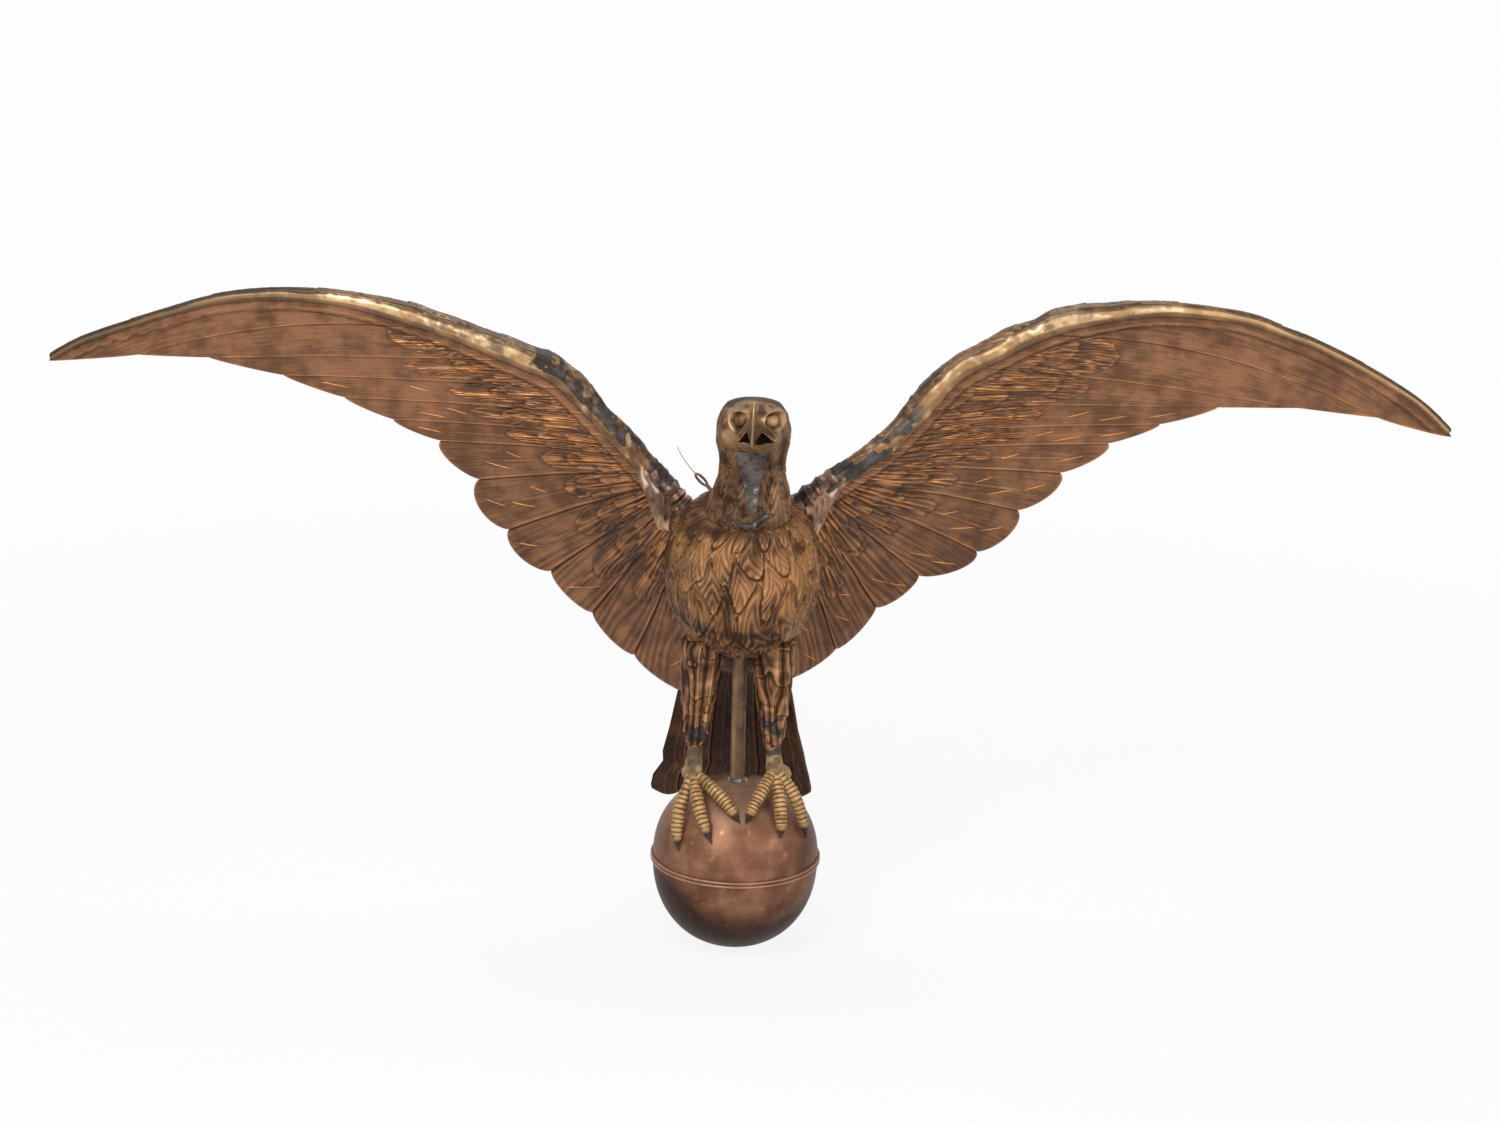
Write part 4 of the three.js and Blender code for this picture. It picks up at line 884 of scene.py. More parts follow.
@dataclass
class Wing:
    """One wing: a blade of feathers, the rolled leading edge and the folded collar at the shoulder.

    A point of the blade is given by s, the feather's number counted from the tip plus the place across it,
    and t, from 0 at the roll's centre line to 1 at the feather's end. The draw picks its random numbers;
    roll_pale and roll_dark shift how pale its roll is, and how dark towards the tip.
    """

    side: str
    sign: int
    draw: int
    roll_pale: float
    roll_dark: float
    lead_shares: Rows
    notch_shares: Rows
    lobe_shares: tuple[float, ...]
    covert_ends: tuple[float, ...]
    quill_strength: float
    nick_share: float
    lead_patch: tuple[float, float]
    lead_turns: tuple[float, float]
    fold_places: tuple[float, float, float, float]
    roll_radius: float = 14.0
    lead_depth: float = 10.0
    lead_sweep: float = 40.0
    chord_slope: float = 0.35
    sheet: float = 1.4
    edge_half: float = 1.55
    taper: float = 90.0
    step: float = 1.5
    covert_rows: int = 60
    flight_rows: int = 26
    contour: Array = field(init=False)
    centres: Array = field(init=False)
    notches: Array = field(init=False)

    def __post_init__(self) -> None:
        """Works out the top outline, the roll's centre line inside it, and the notches."""
        to_plan = np.array([HALF_SPAN, WING_RISE])
        start = np.array([0.0, SHOULDER_HEIGHT])
        lead = np.array(self.lead_shares) * to_plan + start
        self.contour = resampled(lead, 241)
        tangent = units(np.gradient(self.contour, axis=0))
        inward = np.stack([-tangent[:, 1], tangent[:, 0]], -1)
        self.centres = self.contour + inward * self.radius(self.contour[:, 0])[:, None]
        self.notches = np.array(self.notch_shares) * to_plan + start

    def radius(self, out: Array) -> Array:
        """The roll's radius at a distance from the middle, by straight lines between its table's rows."""
        table = np.array(ROLL_RADIUS_SHARES)
        return self.roll_radius * np.interp(out / HALF_SPAN, table[:, 0], table[:, 1])

    def in_space(self, plan: Array, shift: Array | float = 0.0) -> Array:
        """Points in space from (out, up): the depth grows outwards and below the top outline.

        Args:
            plan: Places, out and up.
            shift: How much further back they lie.

        Returns:
            The points.
        """
        top = np.interp(plan[..., 0], self.contour[::-1, 0], self.contour[::-1, 1])
        below = np.maximum(0.0, top - plan[..., 1])
        depth = self.lead_depth + self.lead_sweep * plan[..., 0] / HALF_SPAN + self.chord_slope * below
        return np.stack([self.sign * plan[..., 0], depth + shift, plan[..., 1]], -1)

    def covert_end(self, s: Array) -> Array:
        """Where the coverts end on each feather, as a share of t."""
        return np.interp(s, np.arange(FEATHERS + 1), self.covert_ends)

    def feather_length(self, s: Array) -> Array:
        """The length of each feather line, from the roll's centre line to the scalloped edge."""
        return lengths(self.edge_points(s) - self.lead_points(s))

    def lead_points(self, s: Array) -> Array:
        """The points of the roll's centre line where the feather lines start.

        Args:
            s: Feather lines.

        Returns:
            Their starts, out and up.
        """
        out = np.interp(s, np.arange(FEATHERS + 1), ANCHOR_OUT_SHARES) * HALF_SPAN
        out = np.minimum(out, self.centres[0, 0])
        return np.stack([out, np.interp(out, self.centres[::-1, 0], self.centres[::-1, 1])], -1)

    def edge_points(self, s: Array) -> Array:
        """The scalloped edge: from notch to notch, plus a half ellipse to the power 1.2 along the feather.

        Args:
            s: Feather lines.

        Returns:
            Their ends, out and up.
        """
        number = np.minimum(s.astype(int), FEATHERS - 1)
        part = (s - number)[:, None]
        start, end = self.notches[number], self.notches[number + 1]
        middle = self.lead_points(number + 0.5)
        outward = units((start + end) / 2 - middle)
        lobe = np.sqrt(np.maximum(0.0, 1 - (2 * part - 1) ** 2)) ** 1.2
        swell = lobe * np.array(self.lobe_shares)[number][:, None] * lengths(end - start)[:, None]
        return mixed(start, end, part) + outward * swell

    def blade_grid(self) -> tuple[Array, Array, Array]:
        """The blade's grid, with rows close together over the coverts.

        Returns:
            Each point's s and t, and its place out and up.
        """
        s = feather_columns(FEATHERS)
        ends = self.covert_end(s) + 0.04
        covert = np.linspace(0, 1, self.covert_rows, endpoint=False)[None] * ends[:, None]
        flight = ends[:, None] + steps(self.flight_rows)[None] * (1 - ends[:, None])
        t = np.concatenate([covert, flight], 1)
        lead, edge = self.lead_points(s), self.edge_points(s)
        plan = lead[:, None] + (edge - lead)[:, None] * t[..., None]
        bow = 0.06 * np.maximum(0.0, 1 - np.abs(s - 1)) * lengths(edge - lead)
        plan[..., 1] += bow[:, None] * 4 * t * (1 - t)
        return s, t, plan

    def past_roll(self, plan: Array) -> Array:
        """How far places are from the roll's face.

        Args:
            plan: Places, out and up.

        Returns:
            The distances, in millimetres.
        """
        flat = plan.reshape(-1, 2)
        near = np.full(len(flat), np.inf)
        for centre in self.centres[::4]:
            near = np.minimum(near, lengths(flat - centre))
        return near.reshape(plan.shape[:-1]) - self.radius(plan[..., 0])

    def half_thickness(self, plan: Array) -> Array:
        """Half the blade's thickness: the roll's lip, easing to the thin edge away from the roll.

        Args:
            plan: Places, out and up.

        Returns:
            The half thickness at each.
        """
        fade = ramp(0.0, 1.0, self.past_roll(plan) / self.taper)
        lip = 0.82 * (self.radius(plan[..., 0]) - self.sheet) - 0.3
        return mixed(np.maximum(lip, self.edge_half), self.edge_half, fade)

    def feather_relief(self, s: Array, t: Array, plan: Array, seed: int) -> Relief:
        """Flight feathers that overlap in steps, under four tiers of coverts, and a plain strip by the roll.

        A flight feather rises evenly across to the edge that covers the next one. A bell makes each bead,
        groove and quill. A covert ends at a ragged line, a share of t, and carries slanting barbs.
        Near the body long ribbons run on to the feather's end: a cosine across, bent by noise.

        Args:
            s: The feather coordinate of each column.
            t: The place along for each point.
            plan: The plan points, in millimetres.
            seed: Which noise.

        Returns:
            The raised pattern of one face.
        """
        number = np.minimum(s.astype(int), FEATHERS - 1)[:, None] + 0 * t
        part = s[:, None] - number
        first, last = number[:, 0] + HAIR, number[:, 0] + 1 - HAIR
        root_width = lengths(self.lead_points(last) - self.lead_points(first))[:, None]
        edge_width = lengths(self.edge_points(last) - self.edge_points(first))[:, None]
        width = np.maximum(mixed(root_width, edge_width, t), 6.0)
        length = self.feather_length(s)[:, None]
        along = t * length
        middle = (part - 0.5) * width
        strength = np.where(number >= 4, 1.0, 0.45) * self.quill_strength
        near, far = part * width, (1 - part) * width
        quill = bump(middle - 1.0, 0.9) * strength * (1 - ramp(0.78, 0.95, t))
        height = self.step * part * ramp(0.0, 0.5, t) + 0.45 * bump(far - 1.8, 1.3) - 0.7 * bump(near, 1.1)
        height += 0.5 * quill - 0.3 * bump(np.abs(middle - 1.0) - 2.4, 0.9) * strength
        crest = 0.7 * bump(far - 1.5, 1.3) + 0.6 * quill + 0.5 * ramp(length - 3.0, length, along)
        hollow = 0.95 * bump(near - 0.3, 1.0) + 0.35 * bump(np.abs(middle - 1.0) - 2.3, 0.8) * strength
        end = self.covert_end(s)[:, None] + 1e-3
        inner = ramp(7.0, 10.0, s)[:, None] * ramp(0.4, 0.6, t) + 0.25 * ramp(4.0, 7.0, s)[:, None]
        bend = noise(np.stack([middle / 16, along / 60], -1), 1.0, seed + 31)
        ribbon = (0.5 + 0.5 * np.cos(FULL_TURN * (middle / 8.5 + 0.8 * bend))) * np.clip(inner, 0, 1)
        height, crest = height + 1.1 * ribbon, crest + 0.3 * ribbon**3
        hollow = hollow + 0.4 * np.clip(inner, 0, 1) * (1 - ribbon) ** 4
        past_roll = self.past_roll(plan)
        ground = ramp(8.0, 15.0, past_roll + 2.0 * noise(plan, 12.0, seed + 41))
        for rank, (share, lobes, rise) in enumerate(COVERT_TIERS):
            lobe_number = np.minimum(np.floor(part * lobes), lobes - 1)
            lobe = part * lobes - lobe_number
            cell = np.stack([lobe_number, number], -1)
            lobe_width = width / lobes
            off = (lobe - 0.5) * lobe_width
            shift = 70 * lattice(cell, seed + 17 + rank)
            wave = barbs(off, along + shift, 5.6 - 0.3 * rank, seed + 11 * rank, 0.1, 0.95)
            tip = end * share * (1 - 0.26 * np.abs(2 * lobe - 1) ** 2.4)
            tip = tip * (1 + 0.26 * (lattice(cell, seed + rank) - 0.5))
            past = (t - tip) * length - 4.5 * (wave - 0.4)
            cover = (1 - ramp(-2.5, 1.5, past)) * ground
            rib = bump(np.abs(off + 1.6 * bend) - 2.4, 1.0)
            climb = 0.35 + 0.65 * np.clip(t / np.maximum(tip, 1e-3), 0, 1)
            raised = rise * climb + 1.6 * wave + 0.9 * rib - 0.7
            seam = bump(np.minimum(lobe, 1 - lobe) * lobe_width, 1.0) * cover
            height = mixed(height, 0.35 * height + raised, cover) - 0.5 * seam
            rim = bump(past + 2.8, 1.6) * cover
            crest = mixed(crest, 1.2 * wave**2.2 + 0.7 * rib + 0.5 * rim, cover)
            hollow = mixed(hollow, 0.75 * (1 - wave) ** 3, cover) + 0.45 * seam
            # Painted shadow: the surface darkens just past each covert's tip, where the covert lies over it.
            hollow = hollow + 0.55 * bump(past - 1.2, 2.2) * (1 - cover) * ground
        shaft = bump(np.abs(middle + 2.5 * bend) - 2.6, 1.1) * ground * (1 - ramp(0.85, 1.0, t / end))
        shaft = shaft * ramp(-0.3, 0.2, noise(plan, 30.0, seed + 43))
        height, crest, hollow = height + 1.1 * shaft, crest + 0.9 * shaft, hollow * (1 - 0.8 * shaft)
        flange = bump(past_roll - 8.0, 1.4)
        height, crest = height + 0.9 * flange, crest + 0.2 * flange
        hollow = hollow + 0.6 * bump(past_roll - 11.0, 1.6) + 0.6 * (1 - ramp(0.0, 3.0, past_roll))
        inward = ramp(5.5, 9.0, s)[:, None]
        crest, hollow = crest * (1 - 0.4 * inward), hollow + 0.17 * inward
        dents = noise(plan, 46.0, seed + 5) * 0.9 + noise(plan, 17.0, seed + 6) * 0.5
        return Relief(height + dents, crest, hollow)

    def solder_mask(self, points: Array) -> Array:
        """How much lead lies at a place: between two distances from the middle, broken into patches.

        Args:
            points: The places.

        Returns:
            The lead's share at each.
        """
        out = np.abs(points[..., 0])
        inner, outer = self.lead_patch
        band = ramp(inner - 14, inner + 6, out) * (1 - ramp(outer * 0.75, outer, out))
        patches = ramp(-0.32, 0.02, noise(points, 17.0, 31) + 0.6 * noise(points, 6.0, 32))
        return band * patches

    def blade(self) -> Shell:
        """The closed blade: a front and a back face, each its half thickness and relief from the middle.

        Returns:
            The shell.
        """
        s, t, plan = self.blade_grid()
        half = self.half_thickness(plan)
        front = self.feather_relief(s, t, plan, 3 + self.draw)
        back = self.feather_relief(s, t, plan, 23 + self.draw)
        edge = ramp(0.0, 0.02, 1 - t) * ramp(0.0, 0.012, s[:, None] + 0 * t)
        along = (t * self.feather_length(s)[:, None]) * METRES
        across = (s[:, None] + 0 * t) * 0.05
        gilt = (1 - ramp(80.0, 118.0, plan[..., 0])) * bump(plan[..., 1] - 462, 30.0)
        lead = self.solder_mask(self.in_space(plan)) * (1 - ramp(0.03, 0.12, t)) * 0.4
        shared = {"gilt": gilt, "lead": lead, "across": across, "along": along}
        masks = [
            mask_of(half[..., None], crest=face.crest, hollow=face.hollow, **shared) for face in (front, back)
        ]
        front_points = self.in_space(plan, -half - np.maximum(front.height, -1.0) * edge)
        back_points = self.in_space(plan, half + np.maximum(back.height, -1.0) * edge)
        return plate_shell(front_points, back_points, *masks)

    def nicks(self) -> list[Shell]:
        """The slivers raised on the flight feathers: thin spindles that lie aslant along the face.

        Returns:
            The shells.
        """
        shells = []
        reach = np.linspace(-1, 1, 13)
        for number in range(3, FEATHERS):
            for place, across, size in NICKS:
                mark = lattice(np.array([[number, place * 100.0]]), 151 + self.draw)[0]
                if mark > self.nick_share:
                    continue
                s = np.full(13, number + across + 0.2 * (mark - 0.3)) - 0.11 * reach
                end = self.covert_end(s)
                t = end + place * (1 - end) + reach * size / self.feather_length(s)
                lead = self.lead_points(s)
                plan = lead + (self.edge_points(s) - lead) * t[:, None]
                relief = self.feather_relief(s, t[:, None], plan[:, None], 3 + self.draw)
                path = self.in_space(plan, -self.half_thickness(plan) - relief.height[:, 0] - 0.1)
                rings = swept(path, 0.12 + 0.55 * np.sqrt(1 - reach**2), 8)
                shells.append(tube_shell(rings, crest=1.0))
        return shells

    def roll(self) -> Shell:
        """The leading-edge roll: rings round its centre line, dented, with lapped feathers on its upper back.

        A turn of 0 faces forwards and a quarter turn faces away from the blade. Round the front runs a band
        of pale, gilded and grey patches, each a threshold of noise; lead lies in it near the shoulder.

        Returns:
            The shell.
        """
        plan = resampled(self.centres, 380)
        path = self.in_space(plan)
        radii = self.radius(plan[:, 0])
        radii[:3] *= np.array([0.5, 0.8, 0.95])
        sides = 56
        rings = swept(path, radii, sides)
        outward = units(rings - path[:, None])
        tangent = units(np.gradient(plan, axis=0))
        away = np.stack([self.sign * tangent[:, 1], 0 * tangent[:, 0], -tangent[:, 0]], -1)[:, None]
        turn = np.arctan2((outward * away).sum(-1), -outward[..., 1])
        turn = np.where(turn < -0.5 * math.pi, turn + FULL_TURN, turn) + 0.22 * noise(rings, 28.0, 57)
        travel = travelled(path)[:, None] + 0 * turn
        column = turn / 1.1 + 0.1 * noise(rings, 40.0, 43)
        tiles = scales(column, (travel[-1, 0] - travel) / 52, (16.0, 52.0), 0.9, 41 + self.draw)
        tiled = ramp(0.45, 0.75, turn)
        band = ramp(-0.45, -0.15, turn) * (1 - tiled)
        out = plan[:, :1]
        dents = noise(rings, 26.0, 51) * 0.9 + noise(rings, 9.0, 52) * 0.45
        near_root = 1 - ramp(120.0, 330.0, out)
        crumple = noise(rings * (1.0, 1.0, 0.7), 7.0, 53) * near_root
        ripple = noise(rings, 6.5, 59) * band * (1 - ramp(380, 560, out))
        lift = tiled * (tiles.height - 0.6) * 2.2 + dents * (0.5 + near_root)
        lift = lift + crumple * 0.9 + 0.8 * ripple - 0.9 * band
        rings = rings + outward * (lift * radii[:, None] / self.roll_radius)[..., None]
        lumpy = ramp(90, 140, out) * (1 - ramp(340, 430, out)) * ramp(-0.2, 0.5, turn)
        rings = rings + outward * (3.4 * noise(rings, 30.0, 60) * lumpy)[..., None]
        worn = noise(rings * (0.6, 1.0, 1.0), 26.0, 55) + 0.7 * noise(rings, 8.0, 56)
        worn = worn + ripple + self.roll_pale
        # Pale patches on the band: partly worn bare copper, partly painted highlight, laid with the crest
        # mask.
        pale = ramp(0.0, 0.3, worn) * ramp(150, 260, out) * (1 - ramp(430, 640, out)) * band
        crest = tiled * tiles.crest * 0.5 + pale + 0.5 * ramp(0.3, 0.6, crumple)
        hollow = tiled * (0.35 + 0.7 * tiles.hollow) + 0.6 * ramp(0.15, 0.6, -crumple)
        hollow = hollow + 0.7 * bump(turn - 0.5, 0.12) * ramp(120, 220, out)
        hollow = hollow + 0.2 * ramp(540, 640, out) + self.roll_dark * ramp(420, 520, out)
        grey = ramp(0.15, 0.35, noise(rings, 19.0, 58)) * band * ramp(180, 260, out)
        grey = 0.32 * grey * (1 - ramp(330, 470, out))
        low, high = self.lead_turns
        lead = self.solder_mask(rings) * ramp(low - 0.2, low + 0.2, turn)
        lead = lead * (1 - ramp(high - 0.3, high + 0.3, turn - 1.5 * (1 - ramp(100, 130, out))))
        gilt = (0.5 * band + 0.15 * (1 - tiled)) * (1 - pale) * ramp(130, 260, out)
        return tube_shell(rings, crest=crest, hollow=hollow, lead=np.maximum(lead, grey), gilt=gilt)

    def collar(self) -> Shell:
        """The folded collar: a sleeve round the roll's root, folded by a cubed sine and by noise.

        Returns:
            The shell.
        """
        out = self.centres[:, 0] / HALF_SPAN
        chosen = self.centres[(out >= 0.05) & (out <= 0.134)]
        count = 70
        path = self.in_space(resampled(chosen, count))
        share = steps(count)
        folds = 1.2 * np.sin(FULL_TURN * (share * 4.5 + 0.2)) ** 3
        rings = swept(path, self.radius(np.abs(path[:, 0])) + 2.0 + folds, 40)
        outward = units(rings - path[:, None])
        wrinkle = noise(rings, 9.0, 61) * 1.5 + noise(rings, 4.0, 62) * 0.5
        ends = (ramp(0.0, 0.06, share) * (1 - ramp(0.94, 1.0, share)))[:, None]
        rings = rings + outward * (wrinkle * ends - 1.2 * (1 - ends))[..., None]
        lead = self.solder_mask(rings) * ramp(0.1, 0.6, outward[..., 2])
        hollow = 0.3 + 0.6 * ramp(0.0, 1.4, -wrinkle)
        return tube_shell(rings, crest=0.4 * ramp(0.5, 1.4, wrinkle), hollow=hollow, lead=lead)

    def fold(self) -> Shell:
        """The crumpled fold under the collar: a wedge of sheet that narrows down the blade's root.

        Its ridges run down it: noise drawn out three times as far downwards as across.

        Returns:
            The shell.
        """
        near, far, tip_out, tip_up = self.fold_places
        across, down = steps(56)[:, None], steps(64)[None]
        top_out = mixed(near, far, across) + 0 * down
        top_up = np.interp(top_out, self.centres[::-1, 0], self.centres[::-1, 1]) - 2.0
        narrow = mixed(top_out, tip_out + (across - 0.5) * 12, down**1.2)
        plan = np.stack([narrow, mixed(top_up, tip_up, down)], -1)
        ridges = noise(plan * (1.0, 0.32), 6.5, 63)
        ridges = ridges + 0.5 * noise(plan * (1.0, 0.45), 3.0, 64)
        rim = ramp(0.0, 0.12, across * (1 - across)) * ramp(0.0, 0.1, 1 - down)
        half = self.half_thickness(plan)
        lift = half + 2.0 + (4.5 + 3.0 * ridges + 2.5 * bump(across - 0.45, 0.2)) * rim
        face = self.in_space(plan, -lift)
        rear = self.in_space(plan, -np.minimum(half - 1.0, lift - 1.2))
        # Painted highlights, near white, along the fold's ridges, and painted shade down its valleys.
        crest, hollow = ramp(-0.1, 0.6, ridges), 0.45 * ramp(0.35, 0.9, -ridges)
        gilt = ramp(0.55, 1.0, down) * 0.9 + 0 * across
        lead = 0.7 * ramp(0.18, 0.03, down) * ramp(0.0, 0.5, noise(plan, 9.0, 65) + 0.2)
        masks = mask_of(face, crest=crest, hollow=hollow, gilt=gilt, lead=lead)
        return plate_shell(face, rear, masks, masks)

    def build(self) -> None:
        """Makes and sets the wing's three pieces."""
        side = self.side
        sheets = (f"{side}_wing_front_sheet", f"{side}_wing_back_sheet")
        set_piece(f"{side}_wing_feathers", [self.blade(), *self.nicks()], WING_COPPER, sheets)
        roll = (f"{side}_wing_leading_edge",)
        set_piece(f"{side}_wing_roll", [self.roll()], ROLL_GILT, roll)
        collar = (f"{side}_wing_root_collar",)
        set_piece(f"{side}_shoulder_fold", [self.collar(), self.fold()], COLLAR_COPPER, collar)


LEFT_WING = {
    "side": "left",
    "sign": 1,
    "draw": 0,
    "roll_pale": -0.05,
    "roll_dark": 0.0,
    "lead_shares": (
        (1.004, 0.373), (0.952, 0.531), (0.879, 0.686), (0.807, 0.811), (0.755, 0.881), (0.702, 0.948),
        (0.626, 0.987), (0.571, 0.999), (0.494, 0.987), (0.412, 0.919), (0.355, 0.832), (0.28, 0.679),
        (0.223, 0.442), (0.18, 0.279), (0.122, 0.12), (0.075, -0.005), (0.035, -0.11),
    ),
    "notch_shares": (
        (1.003, 0.34), (0.899, 0.413), (0.787, 0.443), (0.672, 0.428), (0.592, 0.325), (0.519, 0.21),
        (0.454, 0.042), (0.397, -0.172), (0.341, -0.409), (0.258, -0.533), (0.197, -0.695), (0.14, -0.929),
        (0.066, -1.096),
    ),
    "lobe_shares": (0.11, 0.06, 0.05, 0.14, 0.16, 0.25, 0.26, 0.24, 0.24, 0.15, 0.11, 0.1),
    "covert_ends": (0.0, 0.263, 0.383, 0.459, 0.489, 0.511, 0.539, 0.554, 0.53, 0.56, 0.62, 0.68, 0.62),
    "quill_strength": 1.0,
    "nick_share": 0.8,
    "lead_patch": (50.0, 205.0),
    "lead_turns": (-0.9, 0.45),
    "fold_places": (62.0, 108.0, 75.0, 470.0),
}
RIGHT_WING = {
    "side": "right",
    "sign": -1,
    "draw": 1,
    "roll_pale": 0.12,
    "roll_dark": 0.5,
    "lead_shares": (
        (0.991, 0.57), (0.939, 0.675), (0.836, 0.809), (0.764, 0.894), (0.705, 0.936), (0.64, 0.954),
        (0.576, 0.947), (0.492, 0.908), (0.402, 0.826), (0.322, 0.724), (0.259, 0.625), (0.213, 0.475),
        (0.154, 0.25), (0.1, 0.04), (0.078, -0.05), (0.035, -0.125),
    ),
    "notch_shares": (
        (0.99, 0.54), (0.865, 0.575), (0.765, 0.563), (0.661, 0.474), (0.575, 0.362), (0.505, 0.25),
        (0.437, 0.144), (0.383, -0.063), (0.342, -0.344), (0.281, -0.571), (0.22, -0.791), (0.157, -1.008),
        (0.066, -1.185),
    ),
    "lobe_shares": (0.05, 0.08, 0.09, 0.1, 0.12, 0.18, 0.24, 0.28, 0.24, 0.14, 0.14, 0.14),
    "covert_ends": (0.0, 0.333, 0.368, 0.456, 0.491, 0.501, 0.534, 0.559, 0.52, 0.6, 0.7, 0.74, 0.65),
    "quill_strength": 0.7,
    "nick_share": 0.45,
    "lead_patch": (62.0, 265.0),
    "lead_turns": (-0.25, 1.5),
    "fold_places": (72.0, 122.0, 87.0, 470.0),
}


# Body, neck and head


@dataclass
class Body:
    """The body: rings along an axis from the neck down to the tail's root, covered in pointed feathers."""

    half_width: float = 85.0
    half_depth: float = 84.0
    front: float = -42.0
    reach: float = 150.0
    rise: float = 228.0
    tail_root: float = 300.0
    stations: Rows = (
        (-0.02, 1.0, 0.24, 0.24), (0.012, 0.965, 0.48, 0.46), (0.053, 0.899, 0.74, 0.62),
        (0.133, 0.768, 0.94, 0.86), (0.227, 0.614, 1.0, 1.0), (0.36, 0.504, 0.965, 0.93),
        (0.547, 0.373, 0.847, 0.738), (0.693, 0.219, 0.659, 0.548), (0.867, 0.096, 0.494, 0.357),
        (1.0, 0.0, 0.4, 0.214),
    )
    rings: int = 210
    sides: int = 300
    columns: int = 16
    row_length: float = 30.0

    def surface(self) -> tuple[Array, Array]:
        """The smooth rings: an ellipse round each point of the splined axis.

        Returns:
            The rings, and the travel down the axis.
        """
        table = resampled(self.stations, self.rings)
        centre = np.stack([0 * table[:, 0], self.front + table[:, 0] * self.reach,
                           self.tail_root + table[:, 1] * self.rise], -1)
        tangent = units(np.gradient(centre, axis=0))
        across = np.array([1.0, 0.0, 0.0])
        away = np.cross(tangent, across)
        angle = turns(self.sides)
        wide = table[:, 2:3] * self.half_width * np.cos(angle)
        deep = table[:, 3:4] * self.half_depth * np.sin(angle)
        points = centre[:, None] + wide[..., None] * across + deep[..., None] * away[:, None]
        return points, travelled(centre)

    def build(self) -> None:
        """Makes and sets the body: large tile feathers in front, long strands at its sides and shoulders."""
        points, travel = self.surface()
        down = travel[:, None] + 0 * points[..., 0]
        sine = np.sin(turns(self.sides))[None] + 0 * down
        turn = (np.linspace(0, 1, self.sides, endpoint=False) - 0.25)[None]
        column = turn * self.columns + 0.3 * noise(points, 34.0, 71)
        row = down / self.row_length + 0.3 * noise(points, 30.0, 72)
        tiles = scales(column, row, (30.0, self.row_length), 1.1, 73)
        strokes = scales(column * 1.9, row * 0.62, (16.0, 48.0), 1.3, 75)
        tiled = ramp(0.5, 0.85, np.abs(sine)) * (1 - 0.8 * ramp(160.0, 190.0, down))
        tiled = tiled * ramp(12.0, 26.0, down)
        height = 3.2 * tiled * tiles.height + 2.6 * (1 - tiled) * strokes.height
        crest = mixed(strokes.crest * 0.7, tiles.crest, tiled)
        hollow = mixed(strokes.hollow, tiles.hollow, tiled)
        lump = noise(points, 15.0, 77)
        height = height + bump(sine, 0.03) + 1.3 * lump + 0.7 * noise(points, 7.0, 78)
        hollow = hollow + 0.55 * ramp(0.2, 0.8, -lump)
        normal = surface_normals(points, True)
        centre = points.mean(1, keepdims=True)
        normal = normal * np.sign(((points - centre) * normal).sum(-1, keepdims=True))
        taper = ramp(0, 12, down) * ramp(0, 10, travel[-1] - down)
        points = points + normal * ((height - 2.6) * taper)[..., None]
        out, front = np.abs(points[..., 0]), ramp(0.0, 0.3, sine)
        points[..., 2] -= 6.0 * front * (1 - ramp(385.0, 430.0, points[..., 2])) * bump(out, 55.0) * taper
        up = points[..., 2]
        dark = ramp(0.15, 0.5, noise(points, 26.0, 80)) * 0.45 * (1 - tiled)
        # Painted shade: the front darkens towards the foot of the belly.
        dark = dark + 0.15 * (1 - ramp(370.0, 420.0, up)) * front
        gilt = ramp(56, 74, out) * bump(up - 480, 22.0) * front
        gilt = gilt + 0.5 * front * ramp(0.05, 0.4, noise(points, 24.0, 79))
        # Towards +x the front gets more gilt and crest, and less of the darkening above.
        rubbed = front * ramp(34.0, 60.0, points[..., 0])
        gilt = gilt + 0.6 * rubbed
        hollow = hollow + dark * (1 - 0.6 * rubbed)
        shell = tube_shell(points, crest=crest * (1 + 0.5 * rubbed), hollow=hollow, gilt=gilt,
                           along=down * METRES, across=turn * 0.6)
        set_piece("body", [shell], BODY_COPPER, ("body_breast_shell", "body_back_shell"))


